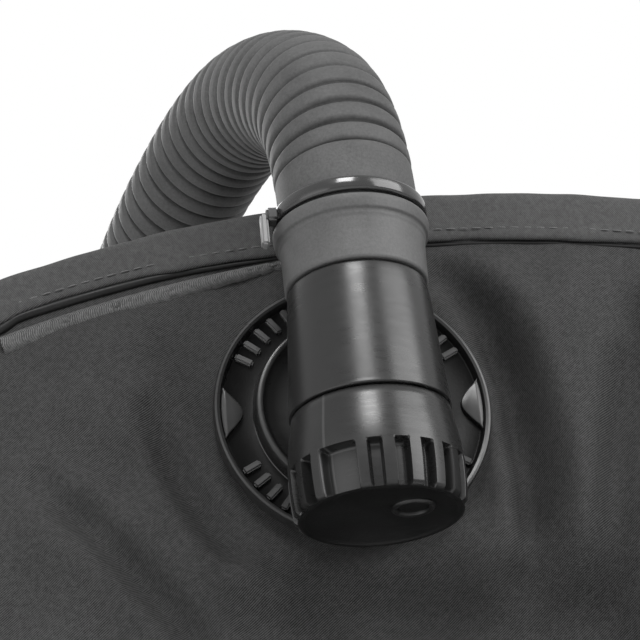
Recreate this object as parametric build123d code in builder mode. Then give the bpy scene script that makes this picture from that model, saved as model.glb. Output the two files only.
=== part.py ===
"""Buoyancy compensator vest: a jacket with a rear air cell, wrap-round front lobes, a tank
backpack, a corrugated inflator hose on a rapid-exhaust elbow, dump valves, buckles and pockets.

Frame: millimetres, +Z up along the tank, the tank's axis is the Z axis and the tank band's
mid-width is the origin. The wearer faces -Y, so +X is the wearer's left and +Y is the rear.
"""

import math
import os

from build123d import *

os.makedirs("parts", exist_ok=True)

# ---------------------------------------------------------------- driving dimensions
TANK_R = 92.1  # an 80 cubic foot aluminium cylinder, 184.2 across
BAND_W = 50.0  # webbing width
BAND_T = 2.2
BACK_Y = -136.0  # the wearer's side of the rear air cell
REAR_Y = -98.0  # the outer fabric of the rear air cell, beside the backpack
PACK_Y = -109.4  # the air cell's rear face where the backpack presses on it
FRONT_Y = -330.0  # the wearer's side of the front lobes
TORSO_HALF_W = 160.0
TORSO_CORNER_R = 80.0
LOBE_T = 34.0
TOP_Z = 240.0  # crown of the rear panel's top edge
BOTTOM_Z = -300.0
PANEL_HALF_W = 208.0
FLAT_HALF_W = 50.0  # half the level stretch of the top edge
SHOULDER_R = 345.0  # radius of the top edge's slope down to each shoulder
SHOULDER_CORNER_R = 20.0  # where the slope meets the panel's side
WAIST_CORNER_R = 36.0  # the panel's lower corners
LOBE_FRONT_X = 45.0  # the front lobes' free edges
LOBE_TOP_Z = 80.0
STRAP_X = 92.0  # centre line of each shoulder strap
STRAP_W = 62.0
STRAP_T = 10.0
GAP = 0.4  # clearance between pieces that only lie on each other

TORSO_MID_Y = (BACK_Y + FRONT_Y) / 2
CORNER_X = TORSO_HALF_W - TORSO_CORNER_R
CORNER_Y = FRONT_Y + TORSO_CORNER_R
LOBE_FACE_Y = FRONT_Y - LOBE_T

# ---------------------------------------------------------------- shared helpers


def save(part, name):
    """Labels a finished piece and writes it as one STEP file."""
    part.label = name
    export_step(part, f"parts/{name}.step")


def ring_sketch(inner, outer):
    """The plan of a layer that wraps the torso, between two offsets from the torso's surface."""
    for offset_by, mode in ((outer, Mode.ADD), (inner, Mode.SUBTRACT)):
        with Locations((0, TORSO_MID_Y)):
            RectangleRounded(
                2 * (TORSO_HALF_W + offset_by),
                BACK_Y - FRONT_Y + 2 * offset_by,
                TORSO_CORNER_R + offset_by,
                mode=mode,
            )


def keep_box(x_low, x_high, y_low, y_high):
    """Keeps the part of the current sketch inside a rectangle."""
    with Locations(((x_low + x_high) / 2, (y_low + y_high) / 2)):
        Rectangle(x_high - x_low, y_high - y_low, mode=Mode.INTERSECT)


def wrap_layer(inner, outer, z_low, z_high, x_low, x_high, y_low, y_high):
    """A constant-thickness layer of the vest that follows the torso's plan."""
    with BuildPart() as layer:
        with BuildSketch(Plane.XY.offset(z_low)):
            ring_sketch(inner, outer)
            keep_box(x_low, x_high, y_low, y_high)
        extrude(amount=z_high - z_low)
    return layer.part


def box_between(low, high, radius=0.0, axis=Axis.Z):
    """A block between two corners, with the edges along one axis rounded."""
    size = [h - l for l, h in zip(low, high)]
    middle = [(h + l) / 2 for l, h in zip(low, high)]
    with BuildPart() as block:
        with Locations(Vector(*middle)):
            Box(*size)
        if radius:
            fillet(block.edges().filter_by(axis), radius)
    return block.part


def mirrored(part):
    """The same piece on the wearer's other side."""
    return part.mirror(Plane.YZ)


# ---------------------------------------------------------------- rear air cell


def top_edge_drop():
    """How far the top edge has fallen where the panel's side begins."""
    run = PANEL_HALF_W - FLAT_HALF_W
    return SHOULDER_R - (SHOULDER_R**2 - run**2) ** 0.5


WAIST_HALF_W = 196.0
SHOULDER_Z = TOP_Z - top_edge_drop()


def panel_outline():
    """The rear panel's outline, seen from the front, as a flat sketch."""
    with BuildSketch() as outline:
        with BuildLine():
            crown = Line((-FLAT_HALF_W, TOP_Z), (FLAT_HALF_W, TOP_Z))
            slope = RadiusArc(crown @ 1, (PANEL_HALF_W, SHOULDER_Z), SHOULDER_R)
            side = Line(slope @ 1, (WAIST_HALF_W, BOTTOM_Z))
            base = Line(side @ 1, (0, BOTTOM_Z))
            for edge in (slope, side, base):
                mirror(edge, about=Plane.YZ)
        make_face()
    return outline.sketch


def rear_air_cell():
    """The back of the bladder: one rounded panel, pressed thinner behind the backpack."""
    recess_half_w, recess_top, recess_bottom = 90.0, 120.0, -196.0
    with BuildPart() as cell:
        with BuildSketch(Plane.XZ.offset(-REAR_Y)):
            add(panel_outline())
        extrude(amount=REAR_Y - BACK_Y)
        for level, radius in ((1, SHOULDER_CORNER_R), (0, WAIST_CORNER_R)):
            upright = cell.edges().filter_by(Axis.Y)
            sides = upright.filter_by(lambda edge: abs(edge.center().X) > WAIST_HALF_W - 1)
            fillet(sides.group_by(Axis.Z)[level], radius)
        with Locations((0, (REAR_Y + PACK_Y) / 2, (recess_top + recess_bottom) / 2)):
            Box(2 * recess_half_w, REAR_Y - PACK_Y, recess_top - recess_bottom, mode=Mode.SUBTRACT)
    return cell.part


BINDING_W = 13.0
BINDING_T = 1.6
BINDING_END_X = 190.0


def slope_point(x, inset):
    """The point below the top edge's slope at x, a distance straight in from the edge."""
    centre_z = TOP_Z - SHOULDER_R
    turn = math.asin((x - FLAT_HALF_W) / SHOULDER_R)
    radius = SHOULDER_R - inset
    return (FLAT_HALF_W + radius * math.sin(turn), centre_z + radius * math.cos(turn))


def edge_binding():
    """The folded tape sewn along the rear panel's top edge."""
    inner_r = SHOULDER_R - BINDING_W
    with BuildPart() as binding:
        with BuildSketch(Plane.XZ.offset(-REAR_Y - BINDING_T)):
            with BuildLine():
                crown = Line((-FLAT_HALF_W, TOP_Z), (FLAT_HALF_W, TOP_Z))
                slope = RadiusArc(crown @ 1, slope_point(BINDING_END_X, 0), SHOULDER_R)
                drop = Line(slope @ 1, slope_point(BINDING_END_X, BINDING_W))
                back = RadiusArc(drop @ 1, (FLAT_HALF_W, TOP_Z - BINDING_W), -inner_r)
                under = Line(back @ 1, (0, TOP_Z - BINDING_W))
                for edge in (slope, drop, back, under):
                    mirror(edge, about=Plane.YZ)
            make_face()
        extrude(amount=BINDING_T)
    return binding.part


# ---------------------------------------------------------------- front lobes and soft layers


def front_lobe():
    """The wearer's left front of the bladder, from the side seam round to the chest."""
    armhole_y, armhole_z, armhole_r = -232.0, 92.0, 88.0
    lobe = wrap_layer(0, LOBE_T, BOTTOM_Z + 12, LOBE_TOP_Z, LOBE_FRONT_X, 300, -420, BACK_Y)
    with BuildPart() as trimmed:
        add(lobe)
        with Locations((TORSO_HALF_W, armhole_y, armhole_z)):
            Cylinder(armhole_r, 200, rotation=(0, 90, 0), mode=Mode.SUBTRACT)
        with Locations((PAD_HALF_W / 2 + 2, BACK_Y - 40, BOTTOM_Z / 2)):
            Box(PAD_HALF_W + 2, 80, 800, mode=Mode.SUBTRACT)
        fillet(trimmed.edges().filter_by(Axis.Y).group_by(Axis.X)[0], 20)
    return trimmed.part


def cummerbund(overlap):
    """A broad elastic waistband half, inside the lobes; overlap 0 lies under, 1 lies over."""
    inner = -5.6 - 2.6 * overlap
    return wrap_layer(inner, inner + 2.2, -178, -62, -36, 300, -420, -190)


PAD_HALF_W = 95.0


def back_pad():
    """The wearer's padding over the backpack."""
    with BuildPart() as pad:
        with BuildSketch(Plane.XZ.offset(-BACK_Y + GAP)):
            with Locations((0, -30)):
                RectangleRounded(2 * PAD_HALF_W, 336, 34)
        extrude(amount=13)
        fillet(pad.faces().sort_by(Axis.Y)[0].edges(), 5)
    return pad.part


def shoulder_strap():
    """A padded strap from the top of the back, over the shoulder and down to the chest."""
    back_run, crown_z, fall_y, end_y = BACK_Y - GAP - STRAP_T / 2, 236.0, -286.0, -372.0
    with BuildPart() as strap:
        with BuildLine() as path:
            FilletPolyline(
                (STRAP_X, back_run, 145),
                (STRAP_X, back_run, crown_z),
                (STRAP_X, fall_y, crown_z),
                (STRAP_X, end_y, 150),
                (STRAP_X, end_y, 102),
                radius=[44, 62, 60],
            )
        with BuildSketch(Plane.XY.offset(145)):
            with Locations((STRAP_X, back_run)):
                Rectangle(STRAP_W, STRAP_T)
        sweep()
    return strap.part


# ---------------------------------------------------------------- backpack and tank band

PACK_TOP, PACK_BOTTOM = 114.0, -190.0
SADDLE_R = TANK_R
PACK_T = 5.0
LAND_Y = -104.0


def tank_band():
    """The webbing loop that clamps the tank: round it, then through the slots behind the saddle."""
    lead_r = SADDLE_R + PACK_T + 0.6
    with BuildPart() as band:
        with BuildSketch(Plane.XY.offset(-BAND_W / 2)):
            Circle(TANK_R + BAND_T)
            with Locations((0, 100 - 64)):
                Rectangle(300, 200, mode=Mode.INTERSECT)
            for sign in (1, -1):
                leg = [(66.0, -64.3), (69.4, -63.8), (44.9, -90.5), (42.4, -88.7)]
                with BuildLine():
                    Polyline(*[(sign * x, y) for x, y in leg], close=True)
                make_face()
            Circle(TANK_R, mode=Mode.SUBTRACT)
        extrude(amount=BAND_W)
        with BuildSketch(Plane.XY.offset(-BAND_W / 2)):
            Circle(lead_r + BAND_T)
            Circle(lead_r, mode=Mode.SUBTRACT)
            with Locations((0, -94)):
                Rectangle(88.4, 24, mode=Mode.INTERSECT)
        extrude(amount=BAND_W)
    return band.part


def backpack():
    """The moulded plate that carries the tank, with a hollow saddle and slots for the band."""
    front_r = SADDLE_R + PACK_T
    seat_x, front_x, land_in, land_out = 50.0, 46.5, 64.0, 85.0
    seat_y = -math.sqrt(SADDLE_R**2 - seat_x**2)
    front_y = -math.sqrt(front_r**2 - front_x**2)
    slot_h = BAND_W + 3
    with BuildPart() as pack:
        with BuildSketch(Plane.XY.offset(PACK_BOTTOM)):
            with BuildLine():
                rear = Polyline((-land_out, LAND_Y), (-land_in, LAND_Y), (-seat_x, seat_y))
                ThreePointArc((-seat_x, seat_y), (0, -SADDLE_R), (seat_x, seat_y))
                Polyline(
                    (seat_x, seat_y),
                    (land_in, LAND_Y),
                    (land_out, LAND_Y),
                    (land_out, LAND_Y - PACK_T),
                    (land_in - 3, LAND_Y - PACK_T),
                    (front_x, front_y),
                )
                ThreePointArc((front_x, front_y), (0, -front_r), (-front_x, front_y))
                Polyline(
                    (-front_x, front_y),
                    (3 - land_in, LAND_Y - PACK_T),
                    (-land_out, LAND_Y - PACK_T),
                    rear @ 0,
                )
            make_face()
        extrude(amount=PACK_TOP - PACK_BOTTOM)
        for sign in (-1, 1):
            with Locations((sign * 55.5, -80.5, 0)):
                Box(46, 11, slot_h, rotation=(0, 0, sign * 47), mode=Mode.SUBTRACT)
        with Locations((-74.5, LAND_Y, 0), (74.5, LAND_Y, 0)):
            with Locations((0, 0, 84), (0, 0, -156)):
                Cylinder(2.6, 30, rotation=(90, 0, 0), mode=Mode.SUBTRACT)
        corners = pack.edges().filter_by(Axis.Y).group_by(SortBy.LENGTH)[-1]
        fillet(corners, 12)
    return pack.part


# ---------------------------------------------------------------- cam buckle of the tank band

CAM_ANGLE = 58.0  # degrees round the tank from the rear, towards the wearer's right
CAM_PIVOT = (-20.0, 105.0)
CAM_PIN_R = 2.5


def around_tank(part):
    """Turns a piece made at the rear of the tank to the cam buckle's place."""
    return part.rotate(Axis.Z, CAM_ANGLE)


def arc_plate(inner_r, outer_r, half_w, first_deg, last_deg):
    """A curved plate round the tank's axis, between two angles from +Y, negative towards -X."""
    with BuildPart() as plate:
        with BuildSketch(Plane.XY.offset(-half_w)):
            with BuildLine():
                inner = CenterArc((0, 0), inner_r, 90 - last_deg, last_deg - first_deg)
                outer = CenterArc((0, 0), outer_r, 90 - last_deg, last_deg - first_deg)
                Line(inner @ 0, outer @ 0)
                Line(inner @ 1, outer @ 1)
            make_face()
        extrude(amount=2 * half_w)
    return plate.part


def cam_base():
    """The buckle's body: a curved plate on the band with a cheek each side to hold the pin."""
    with BuildPart() as base:
        add(arc_plate(TANK_R + BAND_T + 0.3, TANK_R + BAND_T + 3.5, 30, -22, 20))
        for z in (-28.5, 28.5):
            with BuildSketch(Plane.XY.offset(z - 1.5)):
                with BuildLine():
                    Polyline((-33, 88), (-31, 109), (-14, 111.5), (24, 100), (30, 88), close=True)
                make_face()
                Circle(TANK_R + BAND_T + 1, mode=Mode.SUBTRACT)
            extrude(amount=3)
        with Locations((*CAM_PIVOT, 0)):
            Cylinder(CAM_PIN_R, 70, mode=Mode.SUBTRACT)
        fillet(base.edges().filter_by(Axis.Z).group_by(Axis.Y)[-1], 2)
    return base.part


def cam_pin():
    """The steel pin that the lever turns on."""
    with BuildPart() as pin:
        with Locations((*CAM_PIVOT, 0)):
            Cylinder(CAM_PIN_R, 61)
    return pin.part


def cam_lever():
    """The over-centre lever, closed along the band, with two slots for the webbing."""
    with BuildPart() as lever:
        add(arc_plate(103.6, 107.4, 26, -11, 40))
        with Locations((*CAM_PIVOT, 0)):
            Cylinder(6.4, 52)
            Cylinder(CAM_PIN_R + 0.05, 60, mode=Mode.SUBTRACT)
        for angle in (8, 22):
            with PolarLocations(0, 1, start_angle=-angle):
                with Locations((0, 105, 0)):
                    Box(6, 20, 42, mode=Mode.SUBTRACT)
        fillet(lever.edges().filter_by(Axis.Z).group_by(Axis.X)[-1], 1.5)
    return lever.part


# ---------------------------------------------------------------- elbow valve of the hose

ELBOW_X, ELBOW_Z = 112.0, 175.0  # centre of the retaining flange on the rear panel
ELBOW_REACH = 27.0  # from the fabric out to the elbow's own axis
ELBOW_LEAN = 5.0  # degrees that its top leans towards the wearer's left
FLANGE_R = 33.0
GASKET_T = 1.2
BARB_R = 12.7
HOSE_BORE_R = 12.9
HOSE_R = 16.6
NECK_R = 12.4
COLLAR_FOOT, COLLAR_TOP = 18.9, 34.8
CAP_SEAM, CAP_FOOT = -12.6, -36.7

FLANGE_PLANE = Plane(origin=(ELBOW_X, REAR_Y, ELBOW_Z), x_dir=(-1, 0, 0), z_dir=(0, 1, 0))
ELBOW_FRAME = Location((ELBOW_X, REAR_Y + ELBOW_REACH, ELBOW_Z), (0, ELBOW_LEAN, 0))


def turned(points):
    """A closed profile of radius and height, turned round the Z axis."""
    with BuildPart() as solid:
        with BuildSketch(Plane.XZ):
            with BuildLine():
                Polyline(*points, close=True)
            make_face()
        revolve(axis=Axis.Z)
    return solid.part


def elbow_body():
    """The moulded elbow: a tapered barrel, a neck into the flange and a barb for the hose."""
    with BuildPart() as body:
        add(
            turned(
                [
                    (0, COLLAR_FOOT),
                    (16.1, COLLAR_FOOT),
                    (16.5, COLLAR_FOOT - 0.5),
                    (18.5, CAP_SEAM),
                    (0, CAP_SEAM),
                ]
            )
        )
        with Locations((0, -ELBOW_REACH / 2 + 1.2, 0)):
            Cylinder(NECK_R, ELBOW_REACH - 2.4, rotation=(90, 0, 0))
        with Locations((0, 0, 34)):
            Cylinder(BARB_R, 32)
        for radius, low, high in ((10.3, 15.6, 60), (6.4, 0, 20), (14.2, -10.4, 12.6), (10.5, -13, 0)):
            with Locations((0, 0, (low + high) / 2)):
                Cylinder(radius, high - low, mode=Mode.SUBTRACT)
        with Locations((0, -ELBOW_REACH / 2, 0)):
            Cylinder(9.8, ELBOW_REACH, rotation=(90, 0, 0), mode=Mode.SUBTRACT)
    return body.part


def elbow_cap():
    """The vented cap of the exhaust valve: a grip of one broad and five narrow slots in each
    third of a turn, and a round port."""
    grip_r, slot_top, slot_h, slot_depth = 19.4, -26.0, 14.0, 3.4
    slots = [(0.0, 8.4), *((8.5 + 5.9 * k, 2.8) for k in range(5))]
    first_slot = 56.0
    port = (-6.5, 3.9)
    with BuildPart() as cap:
        add(
            turned(
                [
                    (14.6, CAP_SEAM - 0.3),
                    (18.3, CAP_SEAM - 0.3),
                    (18.8, -17),
                    (19.5, -24),
                    (19.5, -31),
                    (18.6, CAP_FOOT),
                    (17.2, CAP_FOOT),
                    (16.8, CAP_FOOT + 1),
                    (0, CAP_FOOT + 1),
                    (0, CAP_FOOT + 3.2),
                    (14.6, CAP_FOOT + 3.2),
                ]
            )
        )
        fillet(cap.edges().filter_by(GeomType.CIRCLE).group_by(Axis.Z)[0].sort_by(SortBy.LENGTH)[-1], 0.5)
        for run, width in slots:
            with PolarLocations(grip_r, 3, start_angle=first_slot + math.degrees(run / grip_r)):
                with Locations((0, 0, slot_top - slot_h / 2)):
                    Box(slot_depth, width, slot_h, mode=Mode.SUBTRACT)
        with Locations((*port, CAP_FOOT + 1)):
            Cylinder(4.6, 1.8, mode=Mode.SUBTRACT)
        with PolarLocations(8.5, 6, start_angle=20):
            with Locations((0, 0, CAP_FOOT + 3)):
                Cylinder(1.3, 8, mode=Mode.SUBTRACT)
    return cap.part


def elbow_poppet():
    """The exhaust valve's disc and the stem that the cable pulls."""
    return turned([(0, 21), (1.8, 21), (1.8, -4), (5.6, -7.4), (12.8, -7.8), (12.8, -10), (0, -10)])


def elbow_spring():
    """The coil spring that keeps the poppet on its seat."""
    with BuildPart() as spring:
        with BuildLine():
            coil = Helix(pitch=4.4, height=18.2, radius=8.2, center=(0, 0, -6.7))
        with BuildSketch(Plane(origin=coil @ 0, z_dir=coil % 0)):
            Circle(0.6)
        sweep(is_frenet=True)
    return spring.part


def hose_collar():
    """The grey rubber skirt between the barrel and the hose, with a flared lip."""
    return turned(
        [
            (13, COLLAR_FOOT + 0.1),
            (16.6, COLLAR_FOOT + 0.1),
            (17.0, 29.8),
            (17.8, 30.8),
            (18.4, COLLAR_TOP - 0.5),
            (18.0, COLLAR_TOP),
            (13, COLLAR_TOP),
        ]
    )


def clamp_ring(at):
    """A glossy tie round the hose's cuff, with the tie's head and its tail on one side."""
    side_y = 4
    with BuildPart() as ring:
        with Locations((0, 0, at + 2)):
            Cylinder(HOSE_R + 1.3, 4)
        with Locations((HOSE_R + 1.8, side_y, at + 2)):
            Box(5, 6, 5)
        with Locations((HOSE_R + 4.2, side_y, at - 2)):
            Box(1.8, 3.4, 8)
        with Locations((0, 0, at + 2)):
            Cylinder(HOSE_R + 0.1, 9, mode=Mode.SUBTRACT)
    return ring.part


def retaining_flange():
    """The screwed ring that clamps the elbow to the fabric: rim, trough with grips, and boss."""
    profile = [
        (NECK_R + 0.2, GASKET_T),
        (FLANGE_R, GASKET_T),
        (FLANGE_R, 4.6),
        (FLANGE_R - 0.5, 5.2),
        (FLANGE_R - 1.6, 5.2),
        (FLANGE_R - 2.2, 4.4),
        (FLANGE_R - 2.4, 2.6),
        (23.6, 2.6),
        (23.2, 6.3),
        (22.6, 7),
        (21.6, 7),
        (20.8, 5.8),
        (NECK_R + 0.2, 5.6),
    ]
    quarters, teeth = 4, 5
    with BuildPart() as flange:
        add(turned(profile))
        for k in range(quarters):
            middle = 50 + 360 / quarters * k
            for tooth in range(teeth):
                with PolarLocations(29, 1, start_angle=middle + (tooth - (teeth - 1) / 2) * 8):
                    with Locations((0, 0, 3.6)):
                        Box(4.6, 1.7, 2.4)
    with BuildPart() as lenses:
        with BuildSketch(Plane.XY.offset(2.5)):
            with PolarLocations(46, quarters, start_angle=5):
                Circle(19)
            Circle(FLANGE_R - 2.3, mode=Mode.INTERSECT)
        extrude(amount=2)
    with BuildPart() as whole:
        add(flange.part)
        add(lenses.part)
    return whole.part


def gasket():
    """The flat rubber washer between the flange and the fabric."""
    with BuildPart() as washer:
        with Locations((0, 0, GASKET_T / 2)):
            Cylinder(30, GASKET_T)
            Cylinder(NECK_R + 0.2, GASKET_T, mode=Mode.SUBTRACT)
    return washer.part


# ---------------------------------------------------------------- corrugated hose

INFLATOR_X, INFLATOR_Y, INFLATOR_TOP = 138.0, -398.0, 56.0


def hose_route():
    """The hose's centre line: up from the elbow, over the shoulder and down to the inflator."""
    start = (ELBOW_FRAME * Location((0, 0, COLLAR_TOP + 0.4))).position
    rise = (ELBOW_FRAME * Location((0, 0, 65.4))).position
    return [
        start,
        rise,
        (128, -95, 266),
        (141, -126, 276),
        (159, -174, 262),
        (171, -232, 246),
        (176, -284, 221),
        (171, -334, 183),
        (154, -376, 137),
        (138, -398, 94),
        (INFLATOR_X, INFLATOR_Y, INFLATOR_TOP),
    ]


def corner_radii(points, share=0.45):
    """The largest arc at each corner of a route: a share of the shorter run each side of it."""
    radii = []
    for before, here, after in zip(points, points[1:], points[2:]):
        run_in, run_out = Vector(here) - Vector(before), Vector(after) - Vector(here)
        half_turn = run_in.get_angle(run_out) / 2
        tangent = share * min(run_in.length, run_out.length)
        radii.append(tangent / math.tan(math.radians(half_turn)))
    return radii


def hose_tube(outer_r, inner_r):
    """A plain tube along the hose's route."""
    route = hose_route()
    radii = corner_radii(route)
    with BuildPart() as tube:
        with BuildLine() as path:
            FilletPolyline(*route, radius=radii)
        with BuildSketch(Plane(origin=path.line @ 0, z_dir=path.line % 0)):
            Circle(outer_r)
            if inner_r:
                Circle(inner_r, mode=Mode.SUBTRACT)
        sweep()
    length = path.wires()[0].length
    print("hose length", round(length, 1), "radii", [round(r) for r in radii])
    section = math.pi * (outer_r**2 - inner_r**2)
    print("hose volume over section times length", round(tube.part.volume / (section * length), 4))
    return tube.part


# ---------------------------------------------------------------- power inflator

INFLATE_Z, EXHAUST_Z = 18.0, -24.0
NIPPLE_X, NIPPLE_R = 106.0, 4.6


def inflator_body():
    """The hand-held inflator's housing, hanging from the hose."""
    with BuildPart() as body:
        with BuildSketch(Plane.XY.offset(-42)):
            RectangleRounded(36, 34, 12)
        extrude(amount=92)
        with Locations((0, 0, 62)):
            Cylinder(BARB_R, 24)
        with Locations((0, 0, -50)):
            Cylinder(13, 16)
        with Locations((-24, 0, 14)):
            Box(30, 18, 22)
        with Locations((0, 0, 10)):
            Cylinder(9.5, 150, mode=Mode.SUBTRACT)
        with Locations((15, 0, INFLATE_Z)):
            Cylinder(8.4, 12, rotation=(0, 90, 0), mode=Mode.SUBTRACT)
        with Locations((0, -14, EXHAUST_Z)):
            Cylinder(10.4, 12, rotation=(90, 0, 0), mode=Mode.SUBTRACT)
    return Location((INFLATOR_X, INFLATOR_Y, 0)) * body.part


def push_button(radius, depth, stand_out):
    """A round button with a softened rim, its face towards +Z and its back at the origin."""
    with BuildPart() as button:
        Cylinder(radius, depth + stand_out, align=(Align.CENTER, Align.CENTER, Align.MIN))
        fillet(button.faces().sort_by(Axis.Z)[-1].edges(), 1.6)
    return button.part


def mouthpiece():
    """The oval rubber mouthpiece with its breathing opening."""
    with BuildPart() as piece:
        with BuildSketch(Plane.XY.offset(-58.2)):
            Circle(14.5)
        with BuildSketch(Plane.XY.offset(-68)):
            Ellipse(18, 11)
        with BuildSketch(Plane.XY.offset(-80)):
            Ellipse(20, 11.5)
        loft()
        with BuildSketch(Plane.XY.offset(-81)):
            Ellipse(15, 7)
        extrude(amount=24, mode=Mode.SUBTRACT)
    return Location((INFLATOR_X, INFLATOR_Y, 0)) * piece.part


def lp_nipple():
    """The quick-connect nipple for the low-pressure hose, pointing up beside the inflator."""
    groove_r, tip_r = NIPPLE_R - 1, NIPPLE_R - 0.3
    nipple = turned(
        [
            (0, 25.2),
            (6.5, 25.2),
            (6.5, 30),
            (NIPPLE_R, 30),
            (NIPPLE_R, 42),
            (groove_r, 42),
            (groove_r, 44),
            (tip_r, 44),
            (tip_r, 46),
            (0, 46),
        ]
    )
    return Location((NIPPLE_X, INFLATOR_Y, 0)) * nipple


def hose_keeper():
    """The webbing loop that holds the hose to the shoulder strap."""
    upper, lower = (Vector(point) for point in hose_route()[-3:-1])
    along = (lower - upper).normalized()
    middle = upper + along * 17
    with BuildPart() as keeper:
        with BuildSketch(Plane(origin=middle, z_dir=along)):
            Circle(HOSE_R + 3.2)
            Circle(HOSE_R + 1.4, mode=Mode.SUBTRACT)
        extrude(amount=20)
        with Locations((121, -378.5, 108)):
            Box(18, 1.8, 20)
    return keeper.part


def inflate_button():
    """The button that lets air in, on the inflator's outer side."""
    place = Location((INFLATOR_X + 13.5, INFLATOR_Y, INFLATE_Z), (0, 90, 0))
    return place * push_button(8, 4.5, 4.5)


def exhaust_button():
    """The button that lets air out through the mouthpiece, on the inflator's front."""
    place = Location((INFLATOR_X, INFLATOR_Y - 11.5, EXHAUST_Z), (90, 0, 0))
    return place * push_button(10, 5.5, 4)


# ---------------------------------------------------------------- dump valves

DUMPS = {"upper": (-112.0, 175.0, 122.0), "lower": (-146.0, -208.0, 74.0)}
DUMP_CORD_Y = REAR_Y + 7.6
KNOB_R, KNOB_H = 6.2, 20.0


def on_rear(x, z):
    """The place of a piece that sits on the rear panel, its local +Z towards the rear."""
    return Plane(origin=(x, REAR_Y, z), x_dir=(-1, 0, 0), z_dir=(0, 1, 0)).location


def dump_body():
    """The valve's housing: a flange on the fabric and a vented dome over the poppet."""
    with BuildPart() as body:
        add(
            turned(
                [
                    (9, 0),
                    (26, 0),
                    (26, 3),
                    (25, 4),
                    (21.6, 4.4),
                    (21, 10.6),
                    (18.4, 12.8),
                    (0, 12.8),
                    (0, 11),
                    (17.4, 11),
                    (18.8, 9.6),
                    (18.8, 1.6),
                    (9, 1.6),
                ]
            )
        )
        with PolarLocations(20.5, 16, start_angle=11.25):
            with Locations((0, 0, 7.2)):
                Box(6, 3, 3.2, mode=Mode.SUBTRACT)
        with Locations((0, -20, 7.6)):
            Cylinder(1.9, 8, rotation=(90, 0, 0), mode=Mode.SUBTRACT)
    return body.part


def dump_poppet():
    """The disc that the cord lifts off its seat."""
    return turned([(0, 2), (12, 2), (12, 3.8), (4, 4.4), (3, 6.2), (0, 6.2)])


def dump_cord(x, z, length):
    """The pull cord, from inside the valve's housing down to its knob."""
    with BuildPart() as cord:
        with Locations((x, DUMP_CORD_Y, z - (13.6 + length) / 2)):
            Cylinder(1.1, length - 13.6)
    return cord.part


def dump_knob(x, z, length):
    """The knob at the end of a pull cord."""
    with BuildPart() as knob:
        with Locations((x, DUMP_CORD_Y, z - length + KNOB_H / 2)):
            Cylinder(KNOB_R, KNOB_H)
            fillet(knob.edges(), 3)
            Cylinder(1.2, KNOB_H + 2, mode=Mode.SUBTRACT)
    return knob.part


# ---------------------------------------------------------------- rings, handle and their keepers

WIRE_R = 2.5
SHOULDER_RING = Plane(origin=(STRAP_X, -332.5, 196.5), x_dir=(1, 0, 0), z_dir=(0, -1, 1))
LOWER_RING = Plane(origin=(100, -340, BOTTOM_Z + 12), x_dir=(1, 0, 0), z_dir=(0, 0, -1))
HANDLE_Y, HANDLE_Z = -91.0, 218.0


def wire_ring(points, corner_r):
    """A closed ring of round wire, its first run along the local X axis."""
    with BuildPart() as ring:
        with BuildLine() as path:
            FilletPolyline(*points, radius=corner_r, close=True)
        with BuildSketch(Plane(origin=path.line @ 0, z_dir=path.line % 0)):
            Circle(WIRE_R)
        sweep()
    return ring.part


def d_ring():
    """A steel D-ring lying in the local XY plane, its bar on the X axis."""
    return wire_ring([(-20, 0), (20, 0), (20, -14), (9, -30), (-9, -30), (-20, -14)], 5.5)


def bar_keeper(half_w, low, high, depth):
    """A sewn webbing block with a bore for a ring's bar along the X axis."""
    with BuildPart() as keeper:
        with Locations((0, 0, (low + high) / 2)):
            Box(2 * half_w, depth, high - low)
        Cylinder(WIRE_R + 0.08, 4 * half_w, rotation=(0, 90, 0), mode=Mode.SUBTRACT)
    return keeper.part


def shoulder_place():
    """Where the shoulder ring's bar lies, above the strap's surface."""
    return SHOULDER_RING.location * Location((0, 0, 4.6))


def lower_place():
    """Where the lower ring's bar lies, under the lobe; the ring hangs down."""
    return LOWER_RING.location * Location((0, 0, 4.6))


def handle_keepers():
    """The two sewn blocks that hold the carry handle."""
    with BuildPart() as keepers:
        for x in (-19, 19):
            with Locations((x, (REAR_Y + HANDLE_Y + 4.4) / 2, HANDLE_Z)):
                Box(12, HANDLE_Y + 4.4 - REAR_Y, 11)
        with Locations((0, HANDLE_Y, HANDLE_Z)):
            Cylinder(WIRE_R + 0.08, 80, rotation=(0, 90, 0), mode=Mode.SUBTRACT)
    return keepers.part


def carry_handle():
    """A wire ring with a moulded grip, hanging at the top of the back."""
    ring = wire_ring([(-33, 0), (33, 0), (33, -44), (-33, -44)], 6)
    with BuildPart() as handle:
        add(Location((0, HANDLE_Y, HANDLE_Z), (90, 0, 0)) * ring)
        with Locations((0, HANDLE_Y, HANDLE_Z - 44)):
            Cylinder(5.5, 50, rotation=(0, 90, 0))
    return handle.part


# ---------------------------------------------------------------- side-release buckles

def socket(width, length, thick):
    """A buckle's female half; the male enters along +Y at the origin."""
    half = width / 2
    with BuildPart() as female:
        with BuildSketch():
            with Locations((0, length / 2)):
                RectangleRounded(width, length, 4)
        extrude(amount=thick)
        mouth = box_between((2.6 - half, -1, 2.2), (half - 2.6, length - 9, thick - 2.2))
        windows = box_between((-half - 1, 7, 2.2), (half + 1, length - 9, thick - 2.2))
        webbing_slot = box_between((4 - half, length - 6, -1), (half - 4, length - 2.6, thick + 1))
        for cut in (mouth, windows, webbing_slot):
            add(cut, mode=Mode.SUBTRACT)
    return female.part


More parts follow.
